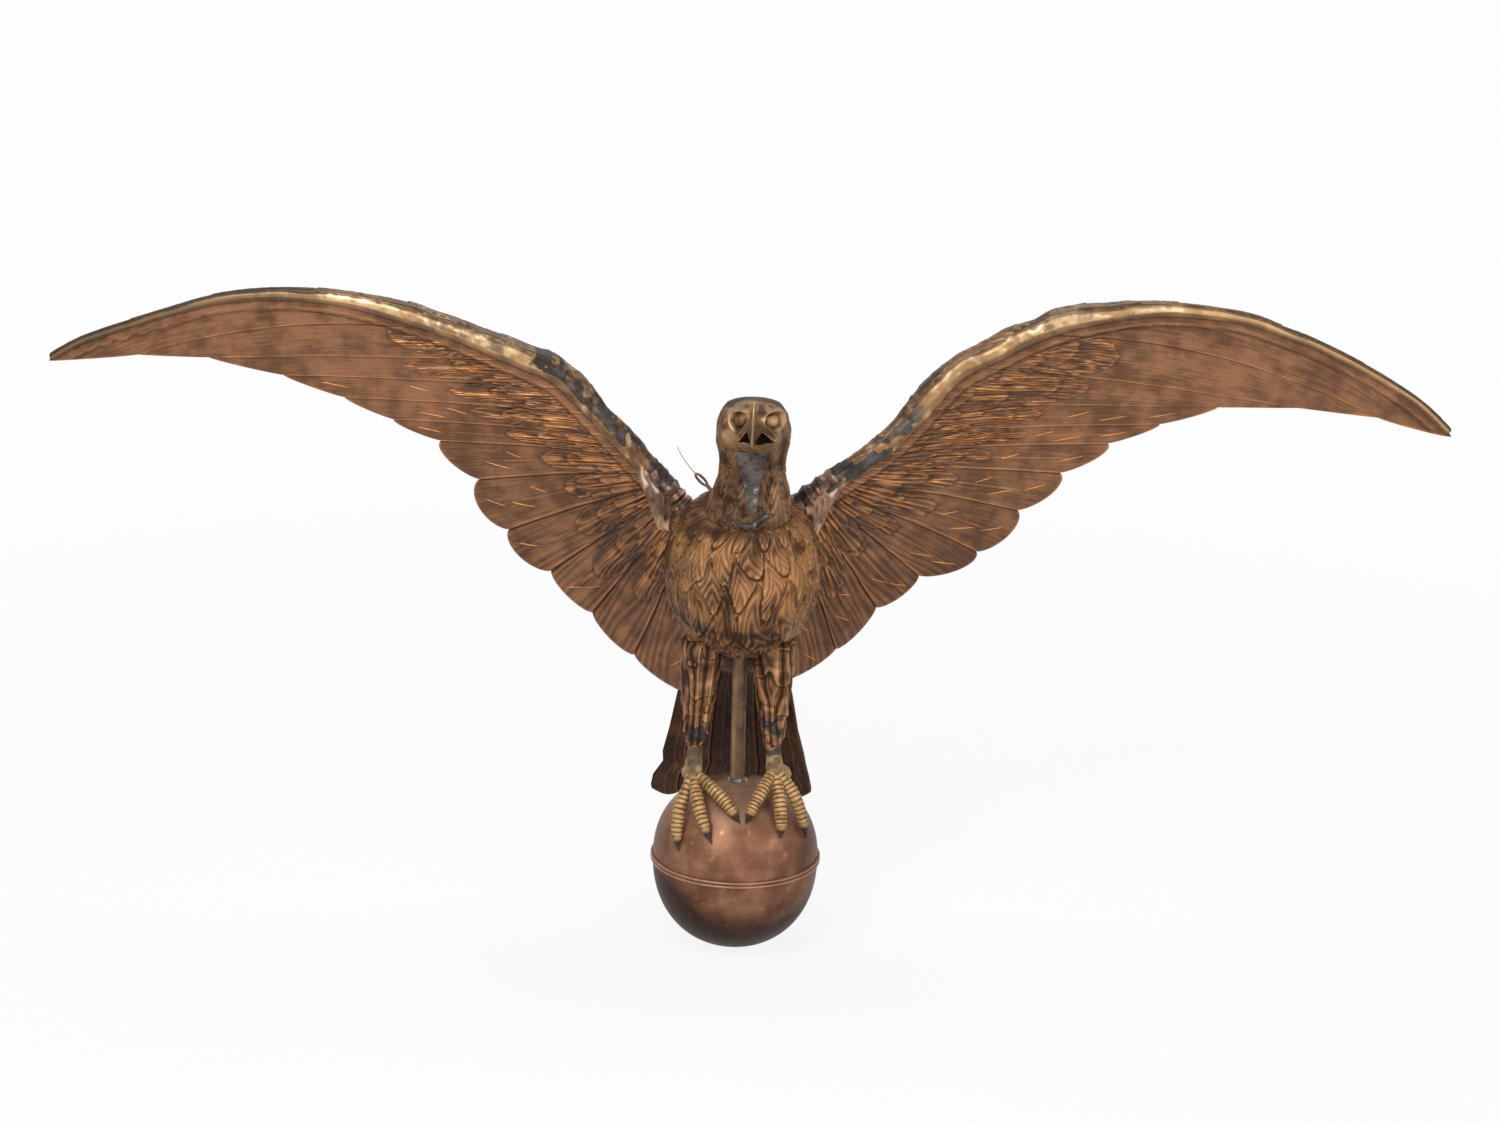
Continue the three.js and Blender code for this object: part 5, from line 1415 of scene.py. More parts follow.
@dataclass
class Head:
    """The neck, skull, beak, eyes and brows, the open lower mandible, and the lead about them."""

    half_width: float = 38.0
    half_depth: float = 35.0
    rise: float = 133.5
    base: float = 508.0
    depth: float = -40.0
    forward: float = -18.0
    lean: float = 8.0
    stations: Rows = (
        (-0.2, 0.0, 0.3, 1.2, 1.12), (0.0, 0.0, 0.5, 1.2, 1.12), (0.1, 0.02, 0.7, 1.16, 1.04),
        (0.24, 0.1, 0.85, 1.04, 0.93), (0.4, 0.22, 0.95, 0.9, 0.88), (0.53, 0.45, 1.0, 0.92, 0.93),
        (0.66, 0.72, 1.0, 1.0, 1.0), (0.8, 0.9, 1.0, 0.99, 0.98), (0.91, 1.0, 1.0, 0.86, 0.88),
        (0.97, 1.05, 1.0, 0.66, 0.7), (1.0, 1.08, 1.0, 0.3, 0.36),
    )
    beak_stations: Rows = (
        (0.0, 0.965, 0.3, 0.0, 1.0), (0.18, 0.92, 0.3, 0.02, 1.0), (0.34, 0.86, 0.3, 0.03, 0.98),
        (0.44, 0.79, 0.4, 0.12, 0.8), (0.56, 0.7, 0.47, 0.34, 0.42), (0.7, 0.58, 0.38, 0.24, 0.22),
        (0.84, 0.43, 0.27, 0.16, 0.13), (0.94, 0.28, 0.19, 0.1, 0.08), (1.0, 0.16, 0.13, 0.08, 0.03),
    )
    beak_skew: float = 0.22
    beak_length: float = 56.0
    beak_root: float = -73.0
    beak_tip: float = 603.0
    beak_rise: float = 40.0
    beak_half_width: float = 22.0
    face_shift: float = 3.3
    eye_radius: float = 7.8
    eye_depth: float = -70.5
    eye_spacing: float = 36.4
    eye_height: float = 624.5
    mandible_half_width: float = 25.0
    mandible_length: float = 30.0
    mandible_height: float = 13.0
    mandible_rise: float = 7.5
    mandible_top: float = 598.0

    def neck_rings(self, rings: int, sides: int) -> Array:
        """The neck and skull's smooth rings: circles squared off a little, by the power 2.5.

        Args:
            rings: How many rings.
            sides: How many points a ring has.

        Returns:
            The rings.
        """
        table = resampled(self.stations, rings)
        angle = turns(sides)
        square = (np.abs(np.cos(angle)) ** 2.5 + np.abs(np.sin(angle)) ** 2.5) ** -0.4
        wide = table[:, 3:4] * self.half_width * np.cos(angle) * square
        deep = table[:, 4:5] * self.half_depth * np.sin(angle) * square
        x = table[:, 2:3] * self.lean + wide
        y = self.depth + table[:, 1:2] * self.forward + deep
        z = self.base + table[:, :1] * self.rise + 0 * wide
        return np.stack([x, y, z], -1)

    def skull(self) -> Shell:
        """The neck and skull: bells make sockets, brows, cheeks and mouth, over a feathered neck.

        Returns:
            The shell.
        """
        points = self.neck_rings(190, 220)
        centre = points.mean(1, keepdims=True)
        outward = units((points - centre) * LEVEL)
        side, up = points[..., 0] - self.lean, points[..., 2]
        front = ramp(0.1, 0.6, -outward[..., 1])
        eye = np.hypot(np.abs(side - self.face_shift) - self.eye_spacing / 2, up - self.eye_height)
        socket = bump(eye - 7.6, 1.9) * front
        ring = bump(eye - 10.6, 1.9) * front * ramp(6.0, -6.0, up - self.eye_height - 0.5 * np.abs(side))
        brow = bump(up - self.eye_height - 11.5 + 0.06 * np.abs(side), 2.6)
        brow = brow * bump(np.abs(side) - 19, 13.0) * front
        cheek = bump(up - 609, 7.0) * bump(np.abs(side) - 26, 6.0) * front
        mouth = ramp(24.0, 17.0, np.abs(side - self.face_shift)) * bump(up - 609, 9.0) * front
        crown = bump(side, 7.0) * ramp(628, 640, up) * front
        angle = turns(points.shape[1])
        column = (angle - math.pi / 2)[None] / FULL_TURN * 15 + 0.35 * noise(points, 30.0, 81)
        row = (650 - up) / 52 + 0.3 * noise(points, 30.0, 82)
        strands = scales(column, row, (17.0, 52.0), 0.9, 83)
        feathered = np.clip((1 - ramp(578, 604, up)) + 0.75 * (1 - front), 0, 1)
        wrinkle = 1.5 * noise(points * (1.0, 1.0, 0.35), 9.0, 84) + 0.6 * noise(points, 5.0, 85)
        lift = -2.2 * socket + 1.9 * ring + 2.2 * brow + 1.8 * cheek + 1.4 * crown - 5.0 * mouth
        lift = lift + feathered * (2.0 * strands.height - 1.0) + 0.6 * wrinkle
        lift = lift * ramp(0.0, 8.0, self.base + self.rise + 1.5 - up)
        lift = mixed(-6.0 + 0 * lift, lift, ramp(498.0, 513.0, up))
        points = points + outward * lift[..., None]
        crest = feathered * strands.crest * 0.6 + (1 - feathered) * ramp(0.5, 1.5, wrinkle) * 0.5
        crest = crest + 0.9 * ring + 0.6 * brow + 0.6 * cheek
        blotch = noise(points, 8.0, 86)
        crest = crest + 0.55 * (1 - feathered) * ramp(0.15, 0.6, blotch)
        # In the mouth's recess the hollow mask is painted shade.
        hollow = feathered * strands.hollow + 0.5 * socket + mouth * 1.3 + 0.6 * ramp(0.4, 1.4, -wrinkle)
        # Random dark blotches, and darker towards the top of the head.
        hollow = hollow + (0.15 + 0.4 * front) * ramp(0.1, 0.6, -blotch) + 0.75 * ramp(626, 639, up)
        gilt = front * ramp(612, 640, up + 0.25 * side) * 0.8 + 0.5 * ramp(10, 26, side) * (1 - front)
        gilt = gilt + 0.5 * ramp(8, 24, side) * bump(up - 550, 30.0)
        return tube_shell(points, crest=crest, hollow=hollow, gilt=gilt)

    def eyes(self) -> list[Shell]:
        """Two domed eyes, each a ball with a lid ring drawn on it.

        Returns:
            The shells.
        """
        shells = []
        for way in (-1, 1):
            rings = globe(self.eye_radius, 0.02)
            dome = np.stack([rings[..., 0], -rings[..., 2] * 0.7, rings[..., 1]], -1)
            away = -dome[..., 1] / self.eye_radius / 0.7
            lid = bump(away - 0.72, 0.07)
            dome = dome * (1 - 0.06 * lid)[..., None]
            hollow = 0.35 * lid + 0.7 * bump(away, 0.3)
            shift = self.face_shift + way * self.eye_spacing / 2
            dome = dome + np.array([self.lean + shift, self.eye_depth, self.eye_height])
            shells.append(tube_shell(dome, crest=0.4 * ramp(0.8, 0.97, away), hollow=hollow))
        return shells

    def beak(self) -> Shell:
        """The upper beak: a tent of fourteen-point sections, curved smooth, that arches up and hooks down.

        Its axis leans from the face's middle towards the ridge, so the two sides differ in width.

        Returns:
            The shell.
        """
        table = resampled(self.beak_stations, 90)
        forward, ridge, side, bottom, width = (table[:, i] for i in range(5))
        half = np.maximum(width, 0.03) * self.beak_half_width
        palate = mixed(bottom, ridge, 0.3)
        across = np.array([0, 0.06, 0.34, 0.8, 1, 0.92, 0.6, 0, -0.6, -0.92, -1, -0.8, -0.34, -0.06])
        heights = [ridge, ridge - 0.03, (ridge + side) / 2, side, (side + bottom) / 2, bottom, palate, palate]
        heights = heights + heights[6:0:-1]
        section = np.stack([np.stack([half * share for share in across], -1), np.stack(heights, -1)], -1)
        looped = np.concatenate([section, section[:, :1]], 1)
        places = np.linspace(0, len(across), 98, endpoint=False)
        fine = spline(looped.transpose(1, 0, 2), places).transpose(1, 0, 2)
        skew = np.where(fine[..., 0] < 0, 1 - self.beak_skew, 1 + self.beak_skew)
        x = self.lean - 1.5 * forward[:, None] + fine[..., 0] * skew
        y = self.beak_root - forward[:, None] * self.beak_length + 0 * x
        z = self.beak_tip + fine[..., 1] * self.beak_rise
        away = np.abs(fine[..., 0]) / self.beak_half_width
        cere = bump(forward[:, None] - 0.36, 0.05) * ramp(0.1, 0.3, away)
        dent = noise(np.stack([x, y, z], -1), 6.0, 92)
        points = np.stack([x, y - 1.2 * cere, z + 0.5 * dent * ramp(0.0, 0.2, 1 - forward[:, None])], -1)
        inside = (places > 5.2) & (places < 8.8)
        centre_line = 0.85 * bump(fine[..., 0], 0.9) * ~inside[None]
        rim = bump(places - 5.0, 0.3) + bump(places - 9.0, 0.3)
        crest = np.clip(centre_line + 0.55 * rim[None] + 0.5 * cere, 0, 1)
        # The palate, inside the open mouth, is painted shade.
        hollow = np.clip(1.0 * inside[None] + 0.14 + 0.4 * ramp(0.0, 0.5, -dent), 0, 1) * (1 - crest)
        return tube_shell(points, crest=crest, hollow=hollow)

    def mandible(self) -> Shell:
        """The lower mandible: ten-point sections, curved smooth, that narrow by a square root.

        Returns:
            The shell.
        """
        share = steps(44)[:, None]
        half = self.mandible_half_width * np.sqrt(1 - 0.8 * share**2)
        drop = self.mandible_height * (1 - 0.45 * share**2)
        top = self.mandible_top + share * self.mandible_rise
        across = np.array([-1, -0.9, -0.4, 0.4, 0.9, 1, 0.86, 0.4, -0.4, -0.86])
        down = np.array([0, 0.08, 0.24, 0.24, 0.08, 0, 0.55, 0.95, 0.95, 0.55])
        looped = np.stack([np.append(across, across[0]), np.append(down, down[0])], -1)
        fine = spline(looped, np.linspace(0, len(across), 72, endpoint=False))
        x = self.lean + 0.9 * self.face_shift + half * fine[:, 0]
        y = self.beak_root - share * self.mandible_length + 0 * x
        z = top - drop * fine[:, 1]
        points = np.stack([x, y, z], -1)
        dent = noise(points, 9.0, 91)
        points = points + (dent * 0.5)[..., None] * UPWARD
        lip = bump(fine[None, :, 1] - 0.02, 0.05) + 0 * x
        inside = (np.abs(fine[None, :, 0]) < 0.88) & (fine[None, :, 1] < 0.4)
        # The mandible's top, inside the open mouth, is painted shade; the dents' noise darkens it too.
        hollow = inside + 0.4 * ramp(0.1, 0.6, -dent)
        return tube_shell(points, crest=0.5 * lip, hollow=hollow, gilt=0.1)

    def throat(self) -> Shell:
        """The lead run down the throat: a lumpy patch that narrows downwards, just off the neck.

        Returns:
            The shell.
        """
        down = steps(90)[:, None]
        ragged = noise(np.concatenate([down * 60, 0 * down], 1), 7.0, 95)[:, None]
        half = mixed(17.5, 3.0, down**0.9) * (1 + 0.16 * ragged)
        middle = self.lean + mixed(-0.5, 0.5, down)
        x = middle + half * np.linspace(-1, 1, 44)[None]
        up = 591 - down * 71 + 0 * x
        coat = self.neck_rings(120, 4)
        front = np.interp(up, coat[:, 3, 2], coat[:, 3, 1])
        width = np.interp(up, coat[:, 0, 2], coat[:, 0, 0] - coat[:, 2, 0]) / 2
        bend = np.minimum(np.abs((x - self.lean) / width), 0.98) ** 2.5
        y = front + (self.half_depth * 0.93) * (1 - (1 - bend) ** 0.4)
        place = np.stack([x, y, up * 1.6], -1)
        lump = noise(place, 6.0, 96) * 0.9 + noise(place, 2.6, 97) * 0.45
        edge = bump((x - middle) / half, 0.85)
        face = np.stack([x, y - 0.8 - 2.4 * edge - lump * edge * 1.2, up], -1)
        rear = np.stack([x, y + 2.5, up], -1)
        masks = mask_of(face, crest=ramp(0.45, 1.0, lump), hollow=ramp(0.1, 0.8, -lump))
        return plate_shell(face, rear, masks, masks)

    def neck_ring(self) -> Shell:
        """The lead fillet at the neck's foot: a lumpy ring that dips in front.

        Returns:
            The shell.
        """
        angle = turns(200)
        ahead = ramp(0.0, 0.8, -np.sin(angle))
        dip = -5.0 * bump(np.cos(angle), 0.28) + 7.0 * ramp(0.1, 0.6, np.cos(angle))
        x = self.lean * 0.55 + 44.0 * np.cos(angle)
        y = self.depth + 39.0 * np.sin(angle) - 1.5 * ahead
        z = 514.0 + 10 * ramp(-0.2, 1.0, np.sin(angle)) + dip * ahead + 1.3 * np.sin(9 * angle)
        path = np.stack([x, y, z], -1)
        ring = turns(16)
        outward = units(path - np.array([self.lean * 0.55, self.depth, 0]) - np.stack([0 * x, 0 * x, z], -1))
        size = (1.1 + 2.4 * bump(np.cos(angle) - 0.16, 0.42) * ahead) * (1 + 0.35 * noise(path, 9.0, 98))
        offset = outward[:, None] * np.cos(ring)[None, :, None] + UPWARD * np.sin(ring)[None, :, None]
        points = path[:, None] + offset * size[:, None, None]
        lump = noise(points, 4.0, 99)
        points = points + offset * (lump * 0.8)[..., None]
        hollow = 0.45 + 0.5 * ramp(-0.2, 0.6, -lump)
        return ring_shell(points, crest=ramp(0.45, 1.0, lump), hollow=hollow)

    def build(self) -> None:
        """Makes and sets the head's pieces."""
        shells = [self.skull(), self.beak(), *self.eyes()]
        set_piece("head", shells, HEAD_COPPER, ("head_left_shell", "head_right_shell"))
        set_piece("mandible", [self.mandible()], HEAD_COPPER, ("lower_mandible",))
        set_piece("throat_lead", [self.throat()], LEAD_GREY, ("throat_solder",))
        set_piece("neck_lead", [self.neck_ring()], LEAD_GREY, ("neck_solder_ring",))


# Tail, legs, ball and fittings


@dataclass
class Tail:
    """The tail: a plate of six feathers, straight back and down, with quills, steps and nicks."""

    drop: float = 212.0
    half_width: float = 91.0
    root_depth: float = 102.0
    slope: float = 0.367
    swell: float = 12.0
    top: float = 318.0
    scallop: float = 5.0
    feathers: int = 6
    nick_step: float = 26.0
    edges: Rows = (
        (0.0, -0.5, 0.5), (0.3, -0.775, 0.66), (0.55, -0.88, 0.755), (0.7, -0.96, 0.84), (0.77, -0.955, 0.87),
        (0.86, -1.08, 0.92), (0.93, -1.11, 0.95), (1.0, -1.07, 0.94),
    )

    def build(self) -> None:
        """Makes and sets the tail: steps across, bells for quills, and sines for barbs."""
        s = feather_columns(self.feathers)[:, None]
        row = steps(150)[None]
        part = s - np.floor(s)
        across = s / self.feathers
        drop = self.drop - self.scallop * (1 - np.sin(math.pi * part))
        drop = drop - self.scallop * np.abs(2 * across - 1) ** 8
        down = row * drop
        table = np.array(self.edges)
        left = np.interp(down / self.drop, table[:, 0], table[:, 1])
        right = np.interp(down / self.drop, table[:, 0], table[:, 2])
        x = mixed(left, right, across) * self.half_width
        swell = self.swell * (1 - ramp(0.0, 0.45, row)) * (1 - (2 * across - 1) ** 2)
        width = (right - left) * self.half_width / self.feathers
        near, far, middle = part * width, (1 - part) * width, (part - 0.5) * width
        relief = 1.5 * part * ramp(0.0, 0.3, row) + 0.5 * bump(far - 1.6, 1.2) - 0.7 * bump(near, 1.0)
        quill = bump(middle, 1.1) * ramp(0.1, 0.2, row)
        barb = 0.5 + 0.5 * np.cos(FULL_TURN * (np.abs(middle) * 0.5 - down * 0.45) / 5.5)
        relief = relief + 0.5 * quill + 0.12 * barb
        plan = np.stack([x, down], -1)
        relief = relief + 0.7 * noise(plan, 30.0, 101)
        sliver = lattice(np.stack([np.floor(s) + 0 * row, np.floor(down / self.nick_step)], -1), 102) > 0.55
        past = np.mod(down, self.nick_step) - self.nick_step / 2
        nick = sliver * bump(past, 6.0) * bump(middle - 4 - 0.2 * past, 0.8)
        relief = relief + 0.7 * nick
        half = 1.55 + swell
        y = self.root_depth + self.slope * down
        z = self.top - down
        edge = ramp(0.0, 0.015, 1 - row) + 0 * s
        front = np.stack([x, y - half - relief * edge, z], -1)
        back = np.stack([x, y + half + relief * edge, z], -1)
        crest = 0.6 * bump(far - 1.4, 1.3) + 0.3 * quill + nick + 0.05 * barb
        # Painted shade: the tail's middle strip is darker.
        centre = 1 - ramp(0.12, 0.34, np.abs(across - 0.52)) + 0 * row
        hollow = bump(near - 0.2, 1.3) + 0.3 * bump(np.abs(middle) - 2.4, 1.0) + 0.5 * centre
        masks = mask_of(front, crest=crest, hollow=hollow, across=across * 0.3, along=down * METRES)
        set_piece("tail", [plate_shell(front, back, masks, masks)], TAIL_COPPER,
                  ("tail_lower_sheet", "tail_upper_sheet"))


@dataclass
class Ball:
    """The ball: two raised halves, a seam band of two beads, and the lead collar at the tube's foot."""

    radius: float = 92.0
    upper: float = 89.0
    lower: float = 102.5
    fullness: float = 2.2
    equator: float = 105.0
    tube_radius: float = 7.9
    sheet: float = 1.4

    def shares(self, angle: Array) -> tuple[Array, Array]:
        """The outline |r| ** n + |z| ** n = 1 at an angle from the pole, with n a little over 2.

        Args:
            angle: The angle.

        Returns:
            Its shares of the radius and of the height.
        """
        flat, rise = np.abs(np.sin(angle)), np.abs(np.cos(angle))
        reach = (flat**self.fullness + rise**self.fullness) ** (-1 / self.fullness)
        return flat * reach, rise * reach

    def surface_height(self, radius: Array) -> Array:
        """The height of the upper half at a distance from the axis."""
        rise = (1 - (radius / self.radius) ** self.fullness) ** (1 / self.fullness)
        return self.equator + self.upper * rise

    def half(self, height: float, way: int) -> Shell:
        """One half: the outline from the tube's hole to the seam, and back inside, turned.

        Dust lies on the top; painted shade darkens the ball towards the bottom and the sides, most at the
        lower left.

        Args:
            height: Its height.
            way: 1 for the upper half, -1 for the lower.

        Returns:
            The shell.
        """
        angle = np.linspace(math.atan((self.tube_radius + 0.3) / self.radius), math.pi / 2, 60)
        flat, rise = self.shares(angle)
        seam = self.equator + way * 0.15
        outer = np.stack([self.radius * flat, seam + way * height * rise], -1)
        inner = np.stack([(self.radius - self.sheet) * flat, seam + way * (height - self.sheet) * rise], -1)
        rings = lathe(np.concatenate([outer, inner[::-1]]), 160)
        up = (rings[..., 2] - self.equator) / height
        cloud = noise(rings, 26.0, 113)
        dust = ramp(0.66, 0.86, up + 0.12 * cloud)
        # Painted shade: darker towards the bottom.
        low = ramp(0.1, 0.66, -up)
        # Painted shade at the left and right sides and most at the lower left, with random darker clouds.
        sides = 0.5 * ramp(0.62, 0.97, np.abs(rings[..., 0]) / self.radius) + 0.25 * ramp(0.1, 0.6, cloud)
        sides = sides + 0.95 * ramp(0.2, 0.75, -rings[..., 0] / self.radius) * ramp(-0.1, 0.3, -up)
        scuff = noise(rings, 12.0, 111) * noise(rings, 5.0, 112)
        turn = np.arctan2(rings[..., 0], -rings[..., 1]) * self.radius
        return ring_shell(rings, crest=0.6 * ramp(0.2, 0.5, scuff), hollow=low + sides * (1 - dust),
                          gilt=0.85 * dust, across=rings[..., 2] * METRES, along=turn * METRES)

    def band(self) -> Shell:
        """The seam band: two round beads side by side, with a groove between them.

        Returns:
            The shell.
        """
        inner = self.radius - 0.6
        theta = np.linspace(-0.5 * math.pi, 0.5 * math.pi, 12)
        low = np.stack([inner + 0.9 + 2.3 * np.cos(theta), -2.1 + 2.0 * np.sin(theta)], -1)
        high = np.stack([inner + 0.9 + 2.3 * np.cos(theta), 2.1 + 2.0 * np.sin(theta)], -1)
        profile = np.concatenate([[[inner, -4.1]], low, high, [[inner, 4.1]]])
        profile[:, 1] += self.equator
        rings = lathe(profile, 160)
        out = np.hypot(rings[..., 0], rings[..., 1]) - inner
        return ring_shell(rings, crest=0.35 * ramp(2.2, 3.1, out), hollow=1 - ramp(0.9, 1.9, out))

    def collar(self) -> Shell:
        """The collar: a lumpy cone of lead standing on the ball round the tube.

        Returns:
            The shell.
        """
        inner, outer = self.tube_radius + 0.1, self.tube_radius + 4.8
        rim = float(self.surface_height(np.array(inner))) + 4.0
        share = steps(12)
        radius = mixed(outer, inner + 0.8, share**0.6)
        foot = float(self.surface_height(np.array(outer)))
        slope = np.stack([radius, mixed(foot, rim, share)], -1)
        profile = np.concatenate([slope, [[inner, rim]], [[inner, foot]]])
        rings = lathe(profile, 80)
        lump = noise(rings, 3.5, 115)
        rings = rings + UPWARD * (0.5 * lump)[..., None]
        return ring_shell(rings, crest=ramp(0.2, 0.8, lump), hollow=ramp(0.3, 0.9, -lump))

    def build(self) -> None:
        """Makes and sets the ball's pieces."""
        halves = ("ball_upper_half", "ball_lower_half")
        set_piece("ball_upper", [self.half(self.upper, 1)], BALL_COPPER, halves[:1])
        set_piece("ball_lower", [self.half(self.lower, -1)], BALL_COPPER, halves[1:])
        set_piece("ball_band", [self.band()], BALL_COPPER, ("ball_seam_band",))
        set_piece("tube_collar", [self.collar()], LEAD_GREY, ("tube_solder_collar",))

    def above(self, turn: float, tilt: float, lift: float) -> Array:
        """A point above the upper half.

        Args:
            turn: Degrees from the front.
            tilt: Degrees from the top.
            lift: The height above the ball.

        Returns:
            The point.
        """
        flat, rise = self.shares(np.array(math.radians(tilt)))
        radius = (self.radius + lift) * float(flat)
        angle = math.radians(turn)
        height = self.equator + (self.upper + lift) * float(rise)
        return np.array([radius * math.sin(angle), -radius * math.cos(angle), height])


@dataclass
class Leg:
    """One leg: a thigh of long strand feathers, and a ringed foot whose claws seat on the ball."""

    side: str
    hip: tuple[float, float]
    ankle: tuple[float, float]
    knuckle: tuple[float, float, float]
    toes: tuple[tuple[float, float, float, float, float], ...]
    ball: Ball
    spread: float = 48.0
    foot_forward: float = -30.0
    knuckle_height: float = 212.0
    toe_arch: float = 20.0
    thigh_half_width: float = 23.0
    thigh_half_depth: float = 28.0
    thigh_drop: float = 112.0
    thigh_top: float = 352.0
    ankle_height: float = 240.0
    tarsus: float = 8.0
    knuckle_radius: float = 9.5
    toe_radius: float = 6.6
    claw_tip: float = 1.6
    thigh_stations: Rows = (
        (-0.16, 0.3, 0.3, 0.0), (-0.09, 0.8, 0.8, 0.0), (0.0, 1.0, 1.0, 0.0), (0.3, 0.88, 0.86, 0.3),
        (0.55, 0.74, 0.68, 0.5), (0.78, 0.56, 0.52, 0.8), (0.92, 0.45, 0.42, 0.95), (1.0, 0.4, 0.36, 1.0),
    )

    def thigh(self) -> Shell:
        """The thigh: rings down the leg, covered in ribbons that hang past the ankle.

        A ribbon is a cosine round the leg, bent by noise drawn out along it, with finer strands on it.

        Returns:
            The shell.
        """
        table = resampled(self.thigh_stations, 150)
        x = mixed(self.hip[0], self.ankle[0], table[:, 3:4]) * self.spread
        y = mixed(self.hip[1], self.ankle[1], table[:, 3:4]) * self.foot_forward
        z = self.thigh_top - table[:, :1] * self.thigh_drop
        angle = turns(132)
        wide = table[:, 1:2] * self.thigh_half_width * np.cos(angle)
        deep = table[:, 2:3] * self.thigh_half_depth * np.sin(angle)
        points = np.stack([x + wide, y + deep, z + 0 * wide], -1)
        seed = 121 if self.side == "left" else 131
        long = points * np.array([1.0, 1.0, 0.4])
        column = angle[None] / FULL_TURN * 8 + 0.75 * noise(long, 14.0, seed)
        ribbon = 0.5 + 0.5 * np.cos(FULL_TURN * column)
        strand = 0.5 + 0.5 * np.cos(FULL_TURN * (column * 3 + 0.6 * noise(long, 8.0, seed + 1)))
        step = np.mod(table[:, :1] * self.thigh_drop / 36 + 0.6 * noise(points, 16.0, seed + 2), 1.0)
        lump = noise(points, 9.0, seed + 3)
        outward = units(np.stack([wide, deep, 0 * wide], -1))
        ends = ramp(0.0, 0.12, 1.0 - table[:, :1])
        lift = (2.3 * ribbon + 0.9 * strand + 1.6 * step + 1.3 * lump) * (0.35 + 0.65 * ends) - 2.4
        points = points + outward * lift[..., None]
        front = ramp(-0.2, 0.6, -np.sin(angle))[None]
        broken = ramp(-0.15, 0.25, noise(points, 9.0, seed + 4))
        patch = bump(z - (258 if self.side == "right" else 268), 11.0) * front * broken
        glint = bump(z - (278 if self.side == "right" else 292), 9.0) * front * ramp(0.1, 0.5, lump)
        crest = 0.55 * ribbon**3 * strand + 0.7 * bump(step - 0.93, 0.05) + glint
        hollow = (1 - ribbon) ** 3 + 0.5 * (1 - strand) ** 4 + 0.8 * bump(step - 0.03, 0.06)
        gilt = 0.5 * ramp(0.2, 0.6, -lump) * front
        return tube_shell(points, crest=crest, hollow=hollow, lead=0.75 * patch, gilt=gilt)

    def toe(self, centre: Array, lift: float, arch: tuple[float, float], tip: tuple[float, float]) -> Shell:
        """A toe: a quadratic curve from knuckle to claw, thickest halfway, with narrow grooves round it.

        Args:
            centre: The knuckle's centre.
            lift: The arch's height.
            arch: Where it bends, as turn and tilt.
            tip: Where its claw ends, as turn and tilt.

        Returns:
            The shell.
        """
        bend = self.ball.above(*arch, lift * self.toe_arch)
        end = self.ball.above(*tip, 0.3 + self.claw_tip)
        share = steps(170)[:, None]
        path = curve(centre, bend, end, share)
        flat = share[:, 0]
        claw = ramp(0.76, 0.83, flat)
        sides = 28
        angle = turns(sides)[None]
        wobble = 0.9 * noise(np.stack([share * 9 + 0 * angle, 1.5 * np.cos(angle) + 0 * share], -1), 1.0, 127)
        groove = (0.5 - 0.5 * np.cos(FULL_TURN * (share * 17 + 0.16 * wobble))) ** 5 * (1 - claw[:, None])
        body = self.toe_radius * (0.86 + 0.26 * bump(flat - 0.45, 0.26))
        nail = mixed(self.toe_radius * 0.85, self.claw_tip * 0.8, ramp(0.76, 1.0, flat) ** 1.2)
        rings = swept(path, mixed(body, nail, claw), sides)
        outward = units(rings - path[:, None])
        lump = noise(rings, 5.0, 128)
        rings = rings + outward * (0.35 * lump - 0.9 * groove)[..., None]
        tipped = ramp(0.79, 0.89, share) + 0 * groove
        crest = 0.55 * (1 - groove) * ramp(-0.1, 0.6, lump) * (1 - tipped)
        hollow = groove + 0.45 * ramp(0.1, 0.6, -lump) + 0.42 * tipped
        gilt = 0.95 * (1 - groove) * (1 - tipped)
        return tube_shell(rings, crest=crest, hollow=hollow, lead=0.5 * tipped, gilt=gilt)

    def foot(self) -> list[Shell]:
        """The shank, the knuckle and the toes, which run into each other.

        Returns:
            The shells.
        """
        scale = np.array([self.spread, self.foot_forward, self.knuckle_height])
        centre = np.array(self.knuckle) * scale
        ankle = (self.ankle[0] * self.spread, self.ankle[1] * self.foot_forward, self.ankle_height + 4)
        share = steps(50)[:, None]
        path = mixed(np.array(ankle), centre, share)
        radii = mixed(self.tarsus, self.knuckle_radius * 1.05, share[:, 0] ** 1.6)
        rings = swept(path, radii, 32)
        lump = noise(rings, 7.0, 129)
        rings = rings + units(rings - path[:, None]) * (0.7 * lump)[..., None]
        lead = 0.62 * (1 - ramp(0.25, 0.75, share)) * ramp(-0.3, 0.2, lump)
        hollow = 0.7 * ramp(0.1, 0.6, -lump)
        shank = tube_shell(rings, crest=0.4 * ramp(0.0, 0.6, lump), lead=lead, hollow=hollow)
        knob = globe(self.knuckle_radius, 0.05) + centre
        lump = noise(knob, 5.0, 131)
        joint = tube_shell(knob, crest=ramp(0.0, 0.8, lump), hollow=ramp(0.3, 0.9, -lump))
        return [shank, joint, *(self.toe(centre, lift, (a, b), (c, d)) for lift, a, b, c, d in self.toes)]

    def build(self) -> None:
        """Makes and sets the leg's pieces."""
        side = self.side
        set_piece(f"{side}_thigh_feathers", [self.thigh()], BODY_COPPER, (f"{side}_thigh",))
        set_piece(f"{side}_claws", self.foot(), FOOT_GILT, (f"{side}_foot",))


